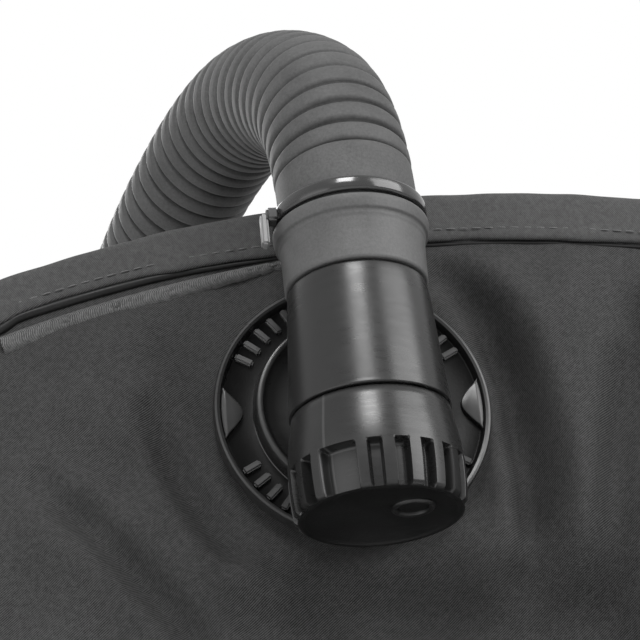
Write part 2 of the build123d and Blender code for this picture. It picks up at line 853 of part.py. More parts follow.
def prong(width, length, thick, webbing_w):
    """A buckle's male half: a ladder bar for the webbing, a guide and two sprung tines."""
    half, reach = width / 2, length - 9.8
    with BuildPart() as male:
        with BuildSketch():
            with Locations((0, -8.4)):
                RectangleRounded(width, 16, 3)
        extrude(amount=thick)
        for low in (-14, -7.6):
            add(
                box_between((-webbing_w / 2, low, -1), (webbing_w / 2, low + 3.4, thick + 1)),
                mode=Mode.SUBTRACT,
            )
        add(box_between((-2.6, -2, 2.6), (2.6, reach - 3, thick - 2.6)))
        for sign in (-1, 1):
            with BuildSketch(Plane.XY.offset(2.6)):
                with BuildLine():
                    Polyline(
                        (sign * (half - 9), -2),
                        (sign * (half - 9), 7),
                        (sign * (half - 6.4), reach),
                        (sign * (half - 4.6), reach),
                        (sign * (half - 3), reach - 5),
                        (sign * (half - 3), 7.6),
                        (sign * (half - 5.4), 7.2),
                        (sign * (half - 5.4), -2),
                        close=True,
                    )
                make_face()
            extrude(amount=thick - 5.2)
    return male.part


SHOULDER_BUCKLE = (50.0, 27.0, 10.6)
CHEST_BUCKLE = (34.0, 26.0, 9.6)
WAIST_BUCKLE = (62.0, 34.0, 12.6)
BUCKLE_Y = LOBE_FACE_Y - 2.4
SHOULDER_BUCKLE_Z, CHEST_Z, WAIST_Z = 74.0, 140.0, -120.0
CHEST_WEB_Y = -377.4
FRONTWARD = (0, -1, 0)
SHOULDER_PLANE = Plane(origin=(STRAP_X, BUCKLE_Y, SHOULDER_BUCKLE_Z), x_dir=(1, 0, 0), z_dir=FRONTWARD)
CHEST_PLANE = Plane(origin=(2, CHEST_WEB_Y - 2, CHEST_Z), x_dir=(0, 0, -1), z_dir=FRONTWARD)
WAIST_PLANE = Plane(origin=(2, BUCKLE_Y, WAIST_Z), x_dir=(0, 0, -1), z_dir=FRONTWARD)


def strap_webbing():
    """All the flat webbing that the buckles hang on, the wearer's left half."""
    with BuildPart() as webbing:
        add(wrap_layer(LOBE_T + GAP, LOBE_T + 2, -70, 72, 73, 111, -420, -300))
        add(wrap_layer(LOBE_T + GAP, LOBE_T + 2, WAIST_Z - 25, WAIST_Z + 25, 8, 114, -420, -300))
        add(box_between((8, CHEST_WEB_Y - 1.6, CHEST_Z - 12.5), (118, CHEST_WEB_Y, CHEST_Z + 12.5)))
        add(box_between((73, CHEST_WEB_Y - 1.6, 88), (111, CHEST_WEB_Y, 122)))
    return webbing.part


# ---------------------------------------------------------------- pockets and weights

POCKET_T = 24.0
POCKET_TOP, POCKET_BOTTOM = -150.0, -278.0
ZIP_LOW, ZIP_HIGH = -166.0, -158.0
SLEEVE_OUT = 60.0


def pocket():
    """A cargo pocket on the lobe, wrapped round the wearer's left hip."""
    top = LOBE_T + POCKET_T
    return wrap_layer(LOBE_T + GAP, top, POCKET_BOTTOM, POCKET_TOP, 60, 300, -420, -215)


def zip_track():
    """The zip along the pocket's mouth."""
    face = LOBE_T + POCKET_T
    return wrap_layer(face, face + 1.5, ZIP_LOW, ZIP_HIGH, 66, 300, -420, -221)


def zip_slider():
    """The zip's slider with its pull, at the front end of the track's bend."""
    inner_r = TORSO_CORNER_R + LOBE_T + POCKET_T + 1.9
    middle_z = (ZIP_LOW + ZIP_HIGH) / 2
    with BuildPart() as slider:
        with Locations((0, -inner_r - 2, middle_z)):
            Box(7, 4, 12)
        fillet(slider.edges().filter_by(Axis.Y), 2.5)
        with Locations((0, -inner_r - 2.8, middle_z - 16)):
            Box(5, 1.6, 28)
    return Location((CORNER_X, CORNER_Y, 0)) * slider.part.rotate(Axis.Z, 6)


def weight_sleeve():
    """The sleeve on the lobe that takes a weight pouch from above."""
    outer = wrap_layer(LOBE_T + GAP, SLEEVE_OUT, -142, -50, 118, 300, -420, -250)
    inner = wrap_layer(LOBE_T + 3, SLEEVE_OUT - 3, -139, -40, 121, 300, -420, -253)
    return outer - inner


def weight_pouch():
    """The ditchable weight pouch with its pull handle."""
    with BuildPart() as pouch:
        add(wrap_layer(LOBE_T + 3.5, SLEEVE_OUT - 3.5, -138, -46, 121.6, 300, -420, -253.6))
        add(wrap_layer(LOBE_T + 10, LOBE_T + 14, -47, -24, 140, 300, -420, -285))
    return pouch.part


def pack_screws():
    """The four screws with broad heads that hold the backpack."""
    with BuildPart() as screws:
        for x in (-74.5, 74.5):
            for z in (84, -156):
                with Locations((x, LAND_Y + 1.6, z)):
                    Cylinder(7, 3.2, rotation=(90, 0, 0))
                with Locations((x, LAND_Y - 2.4, z)):
                    Cylinder(2.5, 5.2, rotation=(90, 0, 0))
                with Locations((x, LAND_Y + 3, z)):
                    Box(9, 1.4, 1.6, mode=Mode.SUBTRACT)
    return screws.part


if __name__ == "__main__":
    save(rear_air_cell(), "rear_air_cell")
    save(edge_binding(), "edge_binding")
    lobe = front_lobe()
    save(lobe, "left_front_lobe")
    save(mirrored(lobe), "right_front_lobe")
    save(cummerbund(1), "left_cummerbund")
    save(mirrored(cummerbund(0)), "right_cummerbund")
    save(back_pad(), "back_pad")
    strap = shoulder_strap()
    save(strap, "left_shoulder_strap")
    save(mirrored(strap), "right_shoulder_strap")
    save(tank_band(), "tank_band")
    save(backpack(), "backpack")
    for name, made in (("cam_base", cam_base()), ("cam_pin", cam_pin()), ("cam_lever", cam_lever())):
        save(around_tank(made), name)
    elbow_pieces = (
        ("elbow_body", elbow_body()),
        ("elbow_cap", elbow_cap()),
        ("elbow_poppet", elbow_poppet()),
        ("elbow_spring", elbow_spring()),
        ("hose_collar", hose_collar()),
    )
    for name, made in elbow_pieces:
        save(ELBOW_FRAME * made, name)
    save(FLANGE_PLANE.location * retaining_flange(), "retaining_flange")
    save(FLANGE_PLANE.location * gasket(), "flange_gasket")
    save(hose_tube(HOSE_R, HOSE_BORE_R), "corrugated_hose")
    save(inflator_body(), "inflator_body")
    save(mouthpiece(), "mouthpiece")
    save(lp_nipple(), "lp_nipple")
    save(hose_keeper(), "hose_keeper")
    upper_clamp = ELBOW_FRAME * clamp_ring(COLLAR_TOP + 0.8)
    lower_clamp = Location((INFLATOR_X, INFLATOR_Y, INFLATOR_TOP)) * clamp_ring(1.2)
    save(Compound(children=[*upper_clamp.solids(), *lower_clamp.solids()]), "hose_clamps")
    save(inflate_button(), "inflate_button")
    save(exhaust_button(), "exhaust_button")

    bodies = []
    for name, (x, z, length) in DUMPS.items():
        bodies += (on_rear(x, z) * dump_body()).solids()
        save(on_rear(x, z) * dump_poppet(), f"{name}_dump_poppet")
        save(dump_cord(x, z, length), f"{name}_dump_cord")
        save(dump_knob(x, z, length), f"{name}_dump_knob")
    save(Compound(children=bodies), "dump_valve_bodies")

    shoulder_ring = shoulder_place() * d_ring()
    lower_ring = lower_place() * Location((0, 0, 0), (-90, 0, 0)) * d_ring()
    save(shoulder_ring, "left_shoulder_ring")
    save(mirrored(shoulder_ring), "right_shoulder_ring")
    save(lower_ring, "left_lower_ring")
    save(mirrored(lower_ring), "right_lower_ring")
    keepers = [
        shoulder_place() * bar_keeper(11, -4.2, 4.6, 12),
        lower_place() * bar_keeper(11, -4.6, 4.4, 10),
    ]
    save(Compound(children=[*keepers, *map(mirrored, keepers)]), "ring_keepers")
    save(handle_keepers(), "handle_keepers")
    save(carry_handle(), "carry_handle")

    sockets = SHOULDER_PLANE.location * socket(*SHOULDER_BUCKLE)
    save(Compound(children=[*sockets.solids(), *mirrored(sockets).solids()]), "shoulder_sockets")
    shoulder_prong = SHOULDER_PLANE.location * prong(*SHOULDER_BUCKLE, 39)
    save(shoulder_prong, "left_shoulder_prong")
    save(mirrored(shoulder_prong), "right_shoulder_prong")
    save(CHEST_PLANE.location * socket(*CHEST_BUCKLE), "chest_socket")
    save(CHEST_PLANE.location * prong(*CHEST_BUCKLE, 26), "chest_prong")
    save(WAIST_PLANE.location * socket(*WAIST_BUCKLE), "waist_socket")
    save(WAIST_PLANE.location * prong(*WAIST_BUCKLE, 51), "waist_prong")
    webbing = strap_webbing()
    save(Compound(children=[*webbing.solids(), *mirrored(webbing).solids()]), "strap_webbing")

    pairs = (("pocket", pocket()), ("zip_slider", zip_slider()), ("weight_pouch", weight_pouch()))
    for name, made in pairs:
        save(made, f"left_{name}")
        save(mirrored(made), f"right_{name}")
    for name, made in (("zip_tracks", zip_track()), ("weight_sleeves", weight_sleeve())):
        save(Compound(children=[*made.solids(), *mirrored(made).solids()]), name)
    save(pack_screws(), "pack_screws")
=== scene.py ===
"""Looks of a buoyancy compensator vest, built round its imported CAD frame.

Metres, in the CAD's frame: +Z up along the tank, +Y to the rear, +X to the wearer's left.
"""

import math

import bmesh
import bpy
import numpy as np
from mathutils import Matrix, Vector


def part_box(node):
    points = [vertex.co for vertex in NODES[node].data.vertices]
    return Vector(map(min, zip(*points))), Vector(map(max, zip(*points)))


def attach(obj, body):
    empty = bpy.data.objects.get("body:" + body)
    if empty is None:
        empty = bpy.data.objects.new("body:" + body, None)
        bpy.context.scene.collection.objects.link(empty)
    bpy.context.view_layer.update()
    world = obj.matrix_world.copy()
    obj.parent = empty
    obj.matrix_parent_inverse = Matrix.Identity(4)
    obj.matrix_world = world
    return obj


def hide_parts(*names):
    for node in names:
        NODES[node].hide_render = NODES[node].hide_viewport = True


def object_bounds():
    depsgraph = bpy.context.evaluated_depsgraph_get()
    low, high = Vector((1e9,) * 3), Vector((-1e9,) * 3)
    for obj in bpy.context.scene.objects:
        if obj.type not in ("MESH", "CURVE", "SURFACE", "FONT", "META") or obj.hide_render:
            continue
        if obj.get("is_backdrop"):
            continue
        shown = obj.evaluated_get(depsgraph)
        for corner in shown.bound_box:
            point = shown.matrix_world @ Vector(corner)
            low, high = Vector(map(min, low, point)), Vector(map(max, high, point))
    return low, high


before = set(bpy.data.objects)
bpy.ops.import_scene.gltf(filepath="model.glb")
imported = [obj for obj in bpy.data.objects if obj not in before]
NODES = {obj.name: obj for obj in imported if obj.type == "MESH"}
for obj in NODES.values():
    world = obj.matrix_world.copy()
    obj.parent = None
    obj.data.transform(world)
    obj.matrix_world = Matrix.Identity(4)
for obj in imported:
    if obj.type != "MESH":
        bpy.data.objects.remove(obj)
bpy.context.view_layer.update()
VEST = "vest"
MM = 0.001
rng = np.random.default_rng(7)

# ---------------------------------------------------------------- driving places, as in the CAD, in metres
REAR_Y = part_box("rear_air_cell")[1].y
FRONT_Y = -0.330
BACK_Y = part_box("rear_air_cell")[0].y
TOP_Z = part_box("rear_air_cell")[1].z
BOTTOM_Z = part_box("rear_air_cell")[0].z
LOBE_T = 0.034
TORSO_R = 0.080
CORNER_X = 0.080
FLANGE_AT = Vector((0.112, REAR_Y, 0.175))
ELBOW_REACH = 0.027
ELBOW_LEAN = math.radians(5)
ELBOW = Matrix.Translation(FLANGE_AT + Vector((0, ELBOW_REACH, 0))) @ Matrix.Rotation(ELBOW_LEAN, 4, "Y")
ON_REAR = Matrix.Rotation(math.radians(-90), 4, "X")  # local +Z turned to the rear, +Y
CROWN_HALF_W = 0.050
SHOULDER_R = 0.345


# ---------------------------------------------------------------- mesh helpers


def linked(name, data):
    """An object in the scene for a mesh, curve, light or camera."""
    obj = bpy.data.objects.new(name, data)
    bpy.context.scene.collection.objects.link(obj)
    return obj


def from_bmesh(name, bm):
    """An object made of a bmesh, which is freed."""
    mesh = bpy.data.meshes.new(name)
    bm.to_mesh(mesh)
    bm.free()
    return linked(name, mesh)


def new_object(name, verts, faces, smooth=True):
    """A mesh object from lists of points and faces."""
    mesh = bpy.data.meshes.new(name)
    mesh.from_pydata([tuple(v) for v in verts], [], [tuple(f) for f in faces])
    mesh.validate()
    mesh.polygons.foreach_set("use_smooth", [smooth] * len(mesh.polygons))
    return linked(name, mesh)


def coordinates(obj):
    """The points of a mesh as an array."""
    flat = np.empty(len(obj.data.vertices) * 3)
    obj.data.vertices.foreach_get("co", flat)
    return flat.reshape(-1, 3)


def set_coordinates(obj, points):
    """Moves the points of a mesh."""
    obj.data.vertices.foreach_set("co", np.ascontiguousarray(points).ravel())
    obj.data.update()


def applied(obj):
    """Replaces a mesh by what its modifiers make of it."""
    bpy.context.view_layer.update()
    graph = bpy.context.evaluated_depsgraph_get()
    mesh = bpy.data.meshes.new_from_object(obj.evaluated_get(graph))
    obj.modifiers.clear()
    obj.data = mesh
    mesh.polygons.foreach_set("use_smooth", [True] * len(mesh.polygons))
    return obj


def modified(obj, kind, **values):
    """Adds one modifier and applies it."""
    modifier = obj.modifiers.new(kind.lower(), kind)
    for key, value in values.items():
        setattr(modifier, key, value)
    return applied(obj)


def smooth_by_angle(obj, degrees=32):
    """Smooth shading with sharp edges kept where faces meet at more than an angle."""
    mesh = obj.data
    mesh.polygons.foreach_set("use_smooth", [True] * len(mesh.polygons))
    mesh.set_sharp_from_angle(angle=math.radians(degrees))
    return obj


def grid_faces(rows, columns, close_rows=False, close_columns=False):
    """Quads over a grid of rows by columns of points."""
    faces = []
    for r in range(rows if close_rows else rows - 1):
        for c in range(columns if close_columns else columns - 1):
            r2, c2 = (r + 1) % rows, (c + 1) % columns
            faces.append((r * columns + c, r * columns + c2, r2 * columns + c2, r2 * columns + c))
    return faces


def lathe(name, profile, place, segments=128, wave=None):
    """A profile of (radius, height) in millimetres turned round local Z; wave changes a radius by angle."""
    verts = []
    for radius, height in profile:
        for k in range(segments):
            angle = 2 * math.pi * k / segments
            r = radius if wave is None else wave(radius, height, angle)
            verts.append(place @ Vector((r * math.cos(angle), r * math.sin(angle), height)))
    faces = grid_faces(len(profile), segments, close_rows=profile[0] == profile[-1], close_columns=True)
    return new_object(name, verts, faces)


ARC_STEPS = 4


def scaled(place):
    """A placing matrix for geometry that is written in millimetres."""
    return place @ Matrix.Scale(MM, 4)


def rounded(points, radius):
    """A profile with each inner corner replaced by a short arc."""
    out = [points[0]]
    for before, here, after in zip(points, points[1:], points[2:]):
        a, b, c = (Vector((*p, 0)) for p in (before, here, after))
        r_in, r_out = (a - b).length, (c - b).length
        cut = min(radius, 0.45 * r_in, 0.45 * r_out)
        start, end = b + (a - b).normalized() * cut, b + (c - b).normalized() * cut
        for t in np.linspace(0, 1, ARC_STEPS + 1):
            p = start * (1 - t) ** 2 + b * 2 * t * (1 - t) + end * t**2
            out.append((p.x, p.y))
    out.append(points[-1])
    return out


def joined(objects, name):
    """Several mesh objects as one."""
    bm = bmesh.new()
    for obj in objects:
        bm.from_mesh(obj.data)
    for obj in objects:
        bpy.data.objects.remove(obj)
    whole = from_bmesh(name, bm)
    whole.data.polygons.foreach_set("use_smooth", [True] * len(whole.data.polygons))
    return whole


def unit_tangents(points):
    """The direction of a path at each of its points."""
    tangents = np.gradient(np.asarray(points, float), axis=0)
    return tangents / np.linalg.norm(tangents, axis=1)[:, None]


def distance_along(points):
    """How far each point lies along its path."""
    steps = np.linalg.norm(np.diff(points, axis=0), axis=1)
    return np.concatenate([[0], np.cumsum(steps)])


def path_frames(points, first_side):
    """Side and up vectors along a path, turned as little as possible."""
    tangents = unit_tangents(points)
    side = np.asarray(first_side, float)
    sides = []
    for tangent in tangents:
        side = side - tangent * (side @ tangent)
        side = side / np.linalg.norm(side)
        sides.append(side)
    sides = np.array(sides)
    return sides, np.cross(tangents, sides)


def spline_points(route, spacing):
    """Points along the smooth NURBS line of a route, evenly spaced."""
    curve = bpy.data.curves.new("route", "CURVE")
    curve.dimensions = "3D"
    curve.resolution_u = 24
    spline = curve.splines.new("NURBS")
    spline.points.add(len(route) - 1)
    for point, place in zip(spline.points, route):
        point.co = (*place, 1)
    spline.order_u = 3
    spline.use_endpoint_u = True
    holder = linked("route", curve)
    mesh = bpy.data.meshes.new_from_object(holder)
    points = np.array([v.co for v in mesh.vertices])
    bpy.data.objects.remove(holder)
    return respaced(points, spacing)


def respaced(points, spacing):
    """The same path with evenly spaced points."""
    points = np.asarray(points, float)
    along = distance_along(points)
    count = max(2, int(round(along[-1] / spacing)) + 1)
    wanted = np.linspace(0, along[-1], count)
    return np.stack([np.interp(wanted, along, points[:, k]) for k in range(3)], axis=1)


def end_caps(length, around_count):
    """The two end faces of a tube of rings."""
    last = (length - 1) * around_count
    return [tuple(range(around_count))[::-1], tuple(range(last, last + around_count))]


def tube(name, points, radii, sides, first_side):
    """A closed round tube along points, with one radius or one for each point."""
    side, up = path_frames(points, first_side)
    radii = np.broadcast_to(np.asarray(radii, float), len(points))
    angles = np.linspace(0, 2 * math.pi, sides, endpoint=False)
    rings = (
        np.asarray(points)[:, None]
        + radii[:, None, None] * np.cos(angles)[None, :, None] * side[:, None]
        + radii[:, None, None] * np.sin(angles)[None, :, None] * up[:, None]
    )
    faces = grid_faces(len(points), sides, close_columns=True) + end_caps(len(points), sides)
    return new_object(name, rings.reshape(-1, 3), faces)


EDGE_STEPS = 3


def ribbon(name, points, normals, width, thick):
    """Flat webbing along points: its own back lies on the points, its face towards the normals."""
    points, normals = np.asarray(points, float), np.asarray(normals, float)
    across = np.cross(unit_tangents(points), normals)
    across /= np.linalg.norm(across, axis=1)[:, None]
    half, r = width / 2, thick / 2
    section = []
    for k in range(EDGE_STEPS + 1):
        a = -math.pi / 2 + math.pi * k / EDGE_STEPS
        section.append((half - r + r * math.cos(a), r + r * math.sin(a)))
    spread = np.linspace(half - r, -(half - r), 9)[1:-1]
    section += [(s, thick) for s in spread]
    for k in range(EDGE_STEPS + 1):
        a = math.pi / 2 + math.pi * k / EDGE_STEPS
        section.append((-(half - r) + r * math.cos(a), r + r * math.sin(a)))
    section += [(s, 0.0) for s in spread[::-1]]
    rings = np.array([[p + across[i] * a + normals[i] * b for a, b in section] for i, p in enumerate(points)])
    count = len(section)
    faces = grid_faces(len(points), count, close_columns=True) + end_caps(len(points), count)
    return new_object(name, rings.reshape(-1, 3), faces)


def stitch_run(name, points, normals, length=2.6 * MM, gap=1.1 * MM, radius=0.26 * MM):
    """A row of sewn stitches: short threads that dive into the cloth at both ends."""
    spacing = length + gap
    dense = respaced(points, 0.4 * MM)
    along = distance_along(dense)
    source = np.linspace(0, along[-1], len(normals))
    count = int(along[-1] // spacing)
    verts, faces = [], []
    sides = 6
    # Each ring of a stitch: its share of the length, its girth and its lift, as shares of the radius.
    profile = ((0.0, 0.25, -0.6), (0.12, 0.8, 0.1), (0.5, 1.0, 0.55), (0.88, 0.8, 0.1), (1.0, 0.25, -0.6))
    normals = np.asarray(normals, float)
    for k in range(count):
        start = k * spacing
        middle = start + length / 2
        normal = np.array([np.interp(middle, source, normals[:, j]) for j in range(3)])
        normal /= np.linalg.norm(normal)
        a = np.array([np.interp(start, along, dense[:, j]) for j in range(3)])
        b = np.array([np.interp(start + length, along, dense[:, j]) for j in range(3)])
        side = np.cross(b - a, normal)
        side /= np.linalg.norm(side)
        base = len(verts)
        one_stitch = grid_faces(len(profile), sides, close_columns=True) + end_caps(len(profile), sides)
        for t, girth, lift in profile:
            centre = a + (b - a) * t + normal * radius * lift
            for j in range(sides):
                angle = 2 * math.pi * j / sides
                verts.append(centre + radius * girth * (math.cos(angle) * side + math.sin(angle) * normal))
        faces += [tuple(base + i for i in face) for face in one_stitch]
    return new_object(name, verts, faces)


# ---------------------------------------------------------------- material helpers


class Shade:
    """A short way to write one procedural material."""

    def __init__(self, name):
        self.material = bpy.data.materials.new(name)
        self.material.use_nodes = True
        self.tree = self.material.node_tree
        self.shader = self.tree.nodes["Principled BSDF"]
        self.place = self.node("ShaderNodeTexCoord").outputs["Object"]

    def node(self, kind, **values):
        made = self.tree.nodes.new(kind)
        for key, value in values.items():
            setattr(made, key, value)
        return made

    def put(self, socket, value):
        if isinstance(value, bpy.types.NodeSocket):
            self.tree.links.new(value, socket)
        else:
            socket.default_value = value

    def math(self, operation, a, b=0.0, c=0.0, clamp=False):
        made = self.node("ShaderNodeMath", operation=operation, use_clamp=clamp)
        for socket, value in zip(made.inputs, (a, b, c)):
            self.put(socket, value)
        return made.outputs[0]

    def along(self, direction):
        made = self.node("ShaderNodeVectorMath", operation="DOT_PRODUCT")
        self.put(made.inputs[0], self.place)
        made.inputs[1].default_value = direction
        return made.outputs["Value"]

    def noise(self, scale, detail=2.0, rough=0.5, stretch=(1, 1, 1)):
        at = self.place
        if stretch != (1, 1, 1):
            mapping = self.node("ShaderNodeMapping")
            self.put(mapping.inputs["Vector"], self.place)
            mapping.inputs["Scale"].default_value = stretch
            at = mapping.outputs["Vector"]
        made = self.node("ShaderNodeTexNoise")
        self.put(made.inputs["Vector"], at)
        made.inputs["Scale"].default_value = scale
        made.inputs["Detail"].default_value = detail
        made.inputs["Roughness"].default_value = rough
        return made.outputs["Fac"]

    def ramp(self, value, stops):
        made = self.node("ShaderNodeValToRGB")
        self.put(made.inputs["Fac"], value)
        elements = made.color_ramp.elements
        for k, (at, colour) in enumerate(stops):
            element = elements[k] if k < 2 else elements.new(at)
            element.position = at
            element.color = (*colour, 1) if len(colour) == 3 else colour
        return made.outputs["Color"]

    def spread(self, value, low, high, to_low, to_high):
        made = self.node("ShaderNodeMapRange")
        for socket, number in zip(made.inputs, (value, low, high, to_low, to_high)):
            self.put(socket, number)
        return made.outputs["Result"]

    def bump(self, height, distance, strength=1.0, under=None):
        made = self.node("ShaderNodeBump")
        self.put(made.inputs["Height"], height)
        made.inputs["Distance"].default_value = distance
        made.inputs["Strength"].default_value = strength
        if under is not None:
            self.put(made.inputs["Normal"], under)
        return made.outputs["Normal"]

    def worn_edges(self):
        """High where an edge stands out, for wear along it."""
        made = self.node("ShaderNodeNewGeometry")
        return self.spread(made.outputs["Pointiness"], 0.52, 0.6, 0.0, 1.0)

    def finish(self, colour=None, rough=0.5, normal=None, **inputs):
        if colour is not None:
            self.put(self.shader.inputs["Base Color"], colour)
        self.put(self.shader.inputs["Roughness"], rough)
        if normal is not None:
            self.put(self.shader.inputs["Normal"], normal)
        for key, value in inputs.items():
            self.put(self.shader.inputs[key.replace("_", " ")], value)
        return self.material


def grey(value):
    """A neutral colour."""
    return (value, value, value)


TWILL_WEAVE = ((1, 1, 1), (1, 0.4, -1))
FLAT_WEAVE = ((1, 0, 1), (1, 0, -1))
SQUARE_WEAVE = ((1, 1, 0), (0, 0, 1))


def cloth_material(name, low, high, thread=0.62 * MM, ways=TWILL_WEAVE, fuzz=0.02):
    """Coated nylon: a fine weave along two ways, mottled a little; fuzz is its sheen."""
    s = Shade(name)
    turn = 2 * math.pi / thread
    a = s.math("SINE", s.math("MULTIPLY", s.along(ways[0]), turn))
    b = s.math("SINE", s.math("MULTIPLY", s.along(ways[1]), turn))
    twill = s.math("ADD", s.math("MULTIPLY", a, 0.7), s.math("MULTIPLY", s.math("MULTIPLY", a, b), 0.3))
    weave = s.math("MULTIPLY_ADD", twill, 0.5, 0.5)
    slub = s.noise(900, 3, 0.7)
    cloud = s.noise(28, 4, 0.6)
    tone = s.math("ADD", s.math("MULTIPLY", weave, 0.5), s.math("MULTIPLY", slub, 0.46))
    tone = s.math("ADD", tone, s.math("MULTIPLY", cloud, 0.24))
    colour = s.ramp(tone, [(0.38, grey(low)), (0.86, grey(high))])
    fine = s.bump(weave, 0.12 * MM, 0.7)
    normal = s.bump(slub, 0.16 * MM, 0.6, fine)
    rough = s.spread(cloud, 0.3, 0.7, 0.72, 0.86)
    return s.finish(colour, rough, normal, Sheen_Weight=fuzz, Sheen_Roughness=0.5, Specular_IOR_Level=0.14)


def webbing_material(name, low, high, direction, rib=1.3 * MM):
    """Ribbed polyester webbing, its ribs along one direction."""
    s = Shade(name)
    across = s.math("SINE", s.math("MULTIPLY", s.along(direction), 2 * math.pi / rib))
    rows = s.math("MULTIPLY_ADD", across, 0.5, 0.5)
    cross = s.noise(1400, 2, 0.6)
    tone = s.math("ADD", s.math("MULTIPLY", rows, 0.45), s.math("MULTIPLY", cross, 0.6))
    colour = s.ramp(tone, [(0.25, grey(low)), (0.85, grey(high))])
    normal = s.bump(cross, 0.15 * MM, 0.7, s.bump(rows, 0.3 * MM, 0.9))
    return s.finish(colour, 0.7, normal, Sheen_Weight=0.08, Specular_IOR_Level=0.3)


def plastic_material(name, value, rough_low, rough_high, grain=0.03 * MM, wear=0.5, shine=0.5):
    """Moulded plastic with a fine spark-eroded grain, handled areas and paler edges."""
    s = Shade(name)
    cloud = s.noise(45, 4, 0.6)
    fine = s.noise(2600, 2, 0.6)
    body = s.ramp(cloud, [(0.3, grey(value * 0.88)), (0.75, grey(value * 1.12))])
    mix = s.node("ShaderNodeMix", data_type="RGBA")
    s.put(mix.inputs[0], s.math("MULTIPLY", s.worn_edges(), wear))
    s.put(mix.inputs[6], body)
    mix.inputs[7].default_value = (*grey(value * 2.6 + 0.02), 1)
    scuff = s.noise(160, 5, 0.7, (1, 1, 6))
    rough = s.spread(s.math("ADD", cloud, scuff), 0.7, 1.3, rough_low, rough_high)
    return s.finish(mix.outputs[2], rough, s.bump(fine, grain, 0.6), Specular_IOR_Level=shine)


def rubber_material(name, low, high, rough=0.62, shine=0.5):
    """Matt grey rubber with a powdery bloom."""
    s = Shade(name)
    bloom = s.noise(60, 5, 0.65)
    fine = s.noise(1500, 3, 0.7)
    colour = s.ramp(s.math("ADD", s.math("MULTIPLY", bloom, 0.6), s.math("MULTIPLY", fine, 0.4)),
                    [(0.35, grey(low)), (0.7, grey(high))])
    rough = s.spread(bloom, 0.3, 0.7, rough - 0.07, rough + 0.1)
    return s.finish(colour, rough, s.bump(fine, 0.08 * MM, 0.5), Specular_IOR_Level=shine)


def steel_material(name, value):
    """Drawn stainless wire with fine scratches."""
    s = Shade(name)
    scratch = s.noise(700, 4, 0.7, (0.15, 1, 1))
    colour = s.ramp(scratch, [(0.3, grey(value * 0.8)), (0.7, grey(value * 1.1))])
    rough = s.spread(scratch, 0.3, 0.7, 0.22, 0.42)
    return s.finish(colour, rough, s.bump(scratch, 0.02 * MM, 0.4), Metallic=1.0)


def thread_material(name, value):
    """Twisted sewing thread."""
    s = Shade(name)
    twist = s.noise(2200, 2, 0.5, (1, 1, 3))
    colour = s.ramp(twist, [(0.3, grey(value * 0.7)), (0.7, grey(value * 1.25))])
    return s.finish(colour, 0.6, s.bump(twist, 0.1 * MM, 0.6), Sheen_Weight=0.2)


REAR_FABRIC = cloth_material("rear_nylon", 0.006, 0.050, ways=FLAT_WEAVE, fuzz=0.0)
FABRIC = cloth_material("bladder_nylon", 0.008, 0.046)
PAD_FABRIC = cloth_material("padding_mesh", 0.02, 0.05, thread=1.6 * MM, ways=SQUARE_WEAVE, fuzz=0.1)
BINDING = cloth_material("binding_tape", 0.016, 0.074, thread=0.5 * MM, ways=FLAT_WEAVE)
# The gathered strip's cloth is far paler than the panel's: painted highlight specks on its curved fabric.
PAINTED_HIGHLIGHT_PUCKER = cloth_material("gathered_edge_painted_highlight", 0.012, 0.12, thread=0.42 * MM, ways=SQUARE_WEAVE)
WEBBING_X = webbing_material("webbing_along_x", 0.012, 0.04, (0, 0, 1))
WEBBING_Z = webbing_material("webbing_along_z", 0.012, 0.04, (1, 1, 0))
PLASTIC = plastic_material("acetal", 0.018, 0.38, 0.55)
VALVE = plastic_material("valve_nylon", 0.008, 0.24, 0.38, grain=0.012 * MM, wear=0.6, shine=0.36)
TIE_TAIL = plastic_material("tie_tail_grey", 0.12, 0.35, 0.5, wear=0.1)
CLAMP = plastic_material("clamp_black", 0.014, 0.1, 0.22, grain=0.01 * MM)
HOSE = rubber_material("hose_rubber", 0.029, 0.070, 0.6, 0.24)
COLLAR = rubber_material("collar_rubber", 0.040, 0.075, 0.5, 0.3)
SEAL = rubber_material("seal_rubber", 0.015, 0.04)
# Near-black matt rubber laid where there is only shade: painted shade in the cap's base, the flange's trough
# and along the binding's inner edge.
PAINTED_SHADE = rubber_material("painted_shade_black", 0.004, 0.010, 0.4, 0.16)
BUTTON = plastic_material("button_grey", 0.2, 0.3, 0.45)
STEEL = steel_material("stainless", 0.5)
THREAD = thread_material("sewing_thread", 0.05)
CORD = webbing_material("braided_cord", 0.015, 0.06, (0, 0, 1), 1.6 * MM)


def dress(obj, material, body=VEST, replaces=()):
    """Gives a piece its material and body, and hides the CAD nodes that it stands for."""
    obj.data.materials.clear()
    obj.data.materials.append(material)
    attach(obj, body)
    if replaces:
        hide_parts(*replaces)
    return obj


# ---------------------------------------------------------------- elbow valve and its flange


def elbow_barrel():
    """The elbow's tapered barrel with its neck into the flange."""
    profile = [
        (0.01, 18.9), (15.2, 18.9), (16.0, 18.4), (16.3, 16.5), (16.55, 14), (18.15, -11.6),
        (18.25, -12.35), (17.8, -12.6), (14.2, -12.6), (14.2, -9), (0.01, -9),
    ]
    barrel = lathe("barrel", rounded(profile, 0.7), scaled(ELBOW), 160)
    neck_place = ELBOW @ Matrix.Rotation(math.radians(90), 4, "X")
    neck_profile = [(12.4, 5), (12.4, 24.4), (12.8, 25.6), (12.4, 25.8), (9.8, 25.8), (9.8, 5)]
    neck = lathe("neck", rounded(neck_profile, 0.5), scaled(neck_place), 96)
    barb_profile = [(10.3, 18), (12.7, 18), (12.7, 49), (11.9, 50), (10.3, 50), (10.3, 18)]
    barb = lathe("barb", barb_profile, scaled(ELBOW), 64)
    obj = joined([barrel, neck, barb], "elbow_shell")
    smooth_by_angle(obj, 40)
    dress(obj, VALVE, VEST, ["elbow_body"])


CAP_GRIP_R = 19.4
CAP_THIRD = 2 * math.pi / 3
CAP_TURN = math.radians(56)
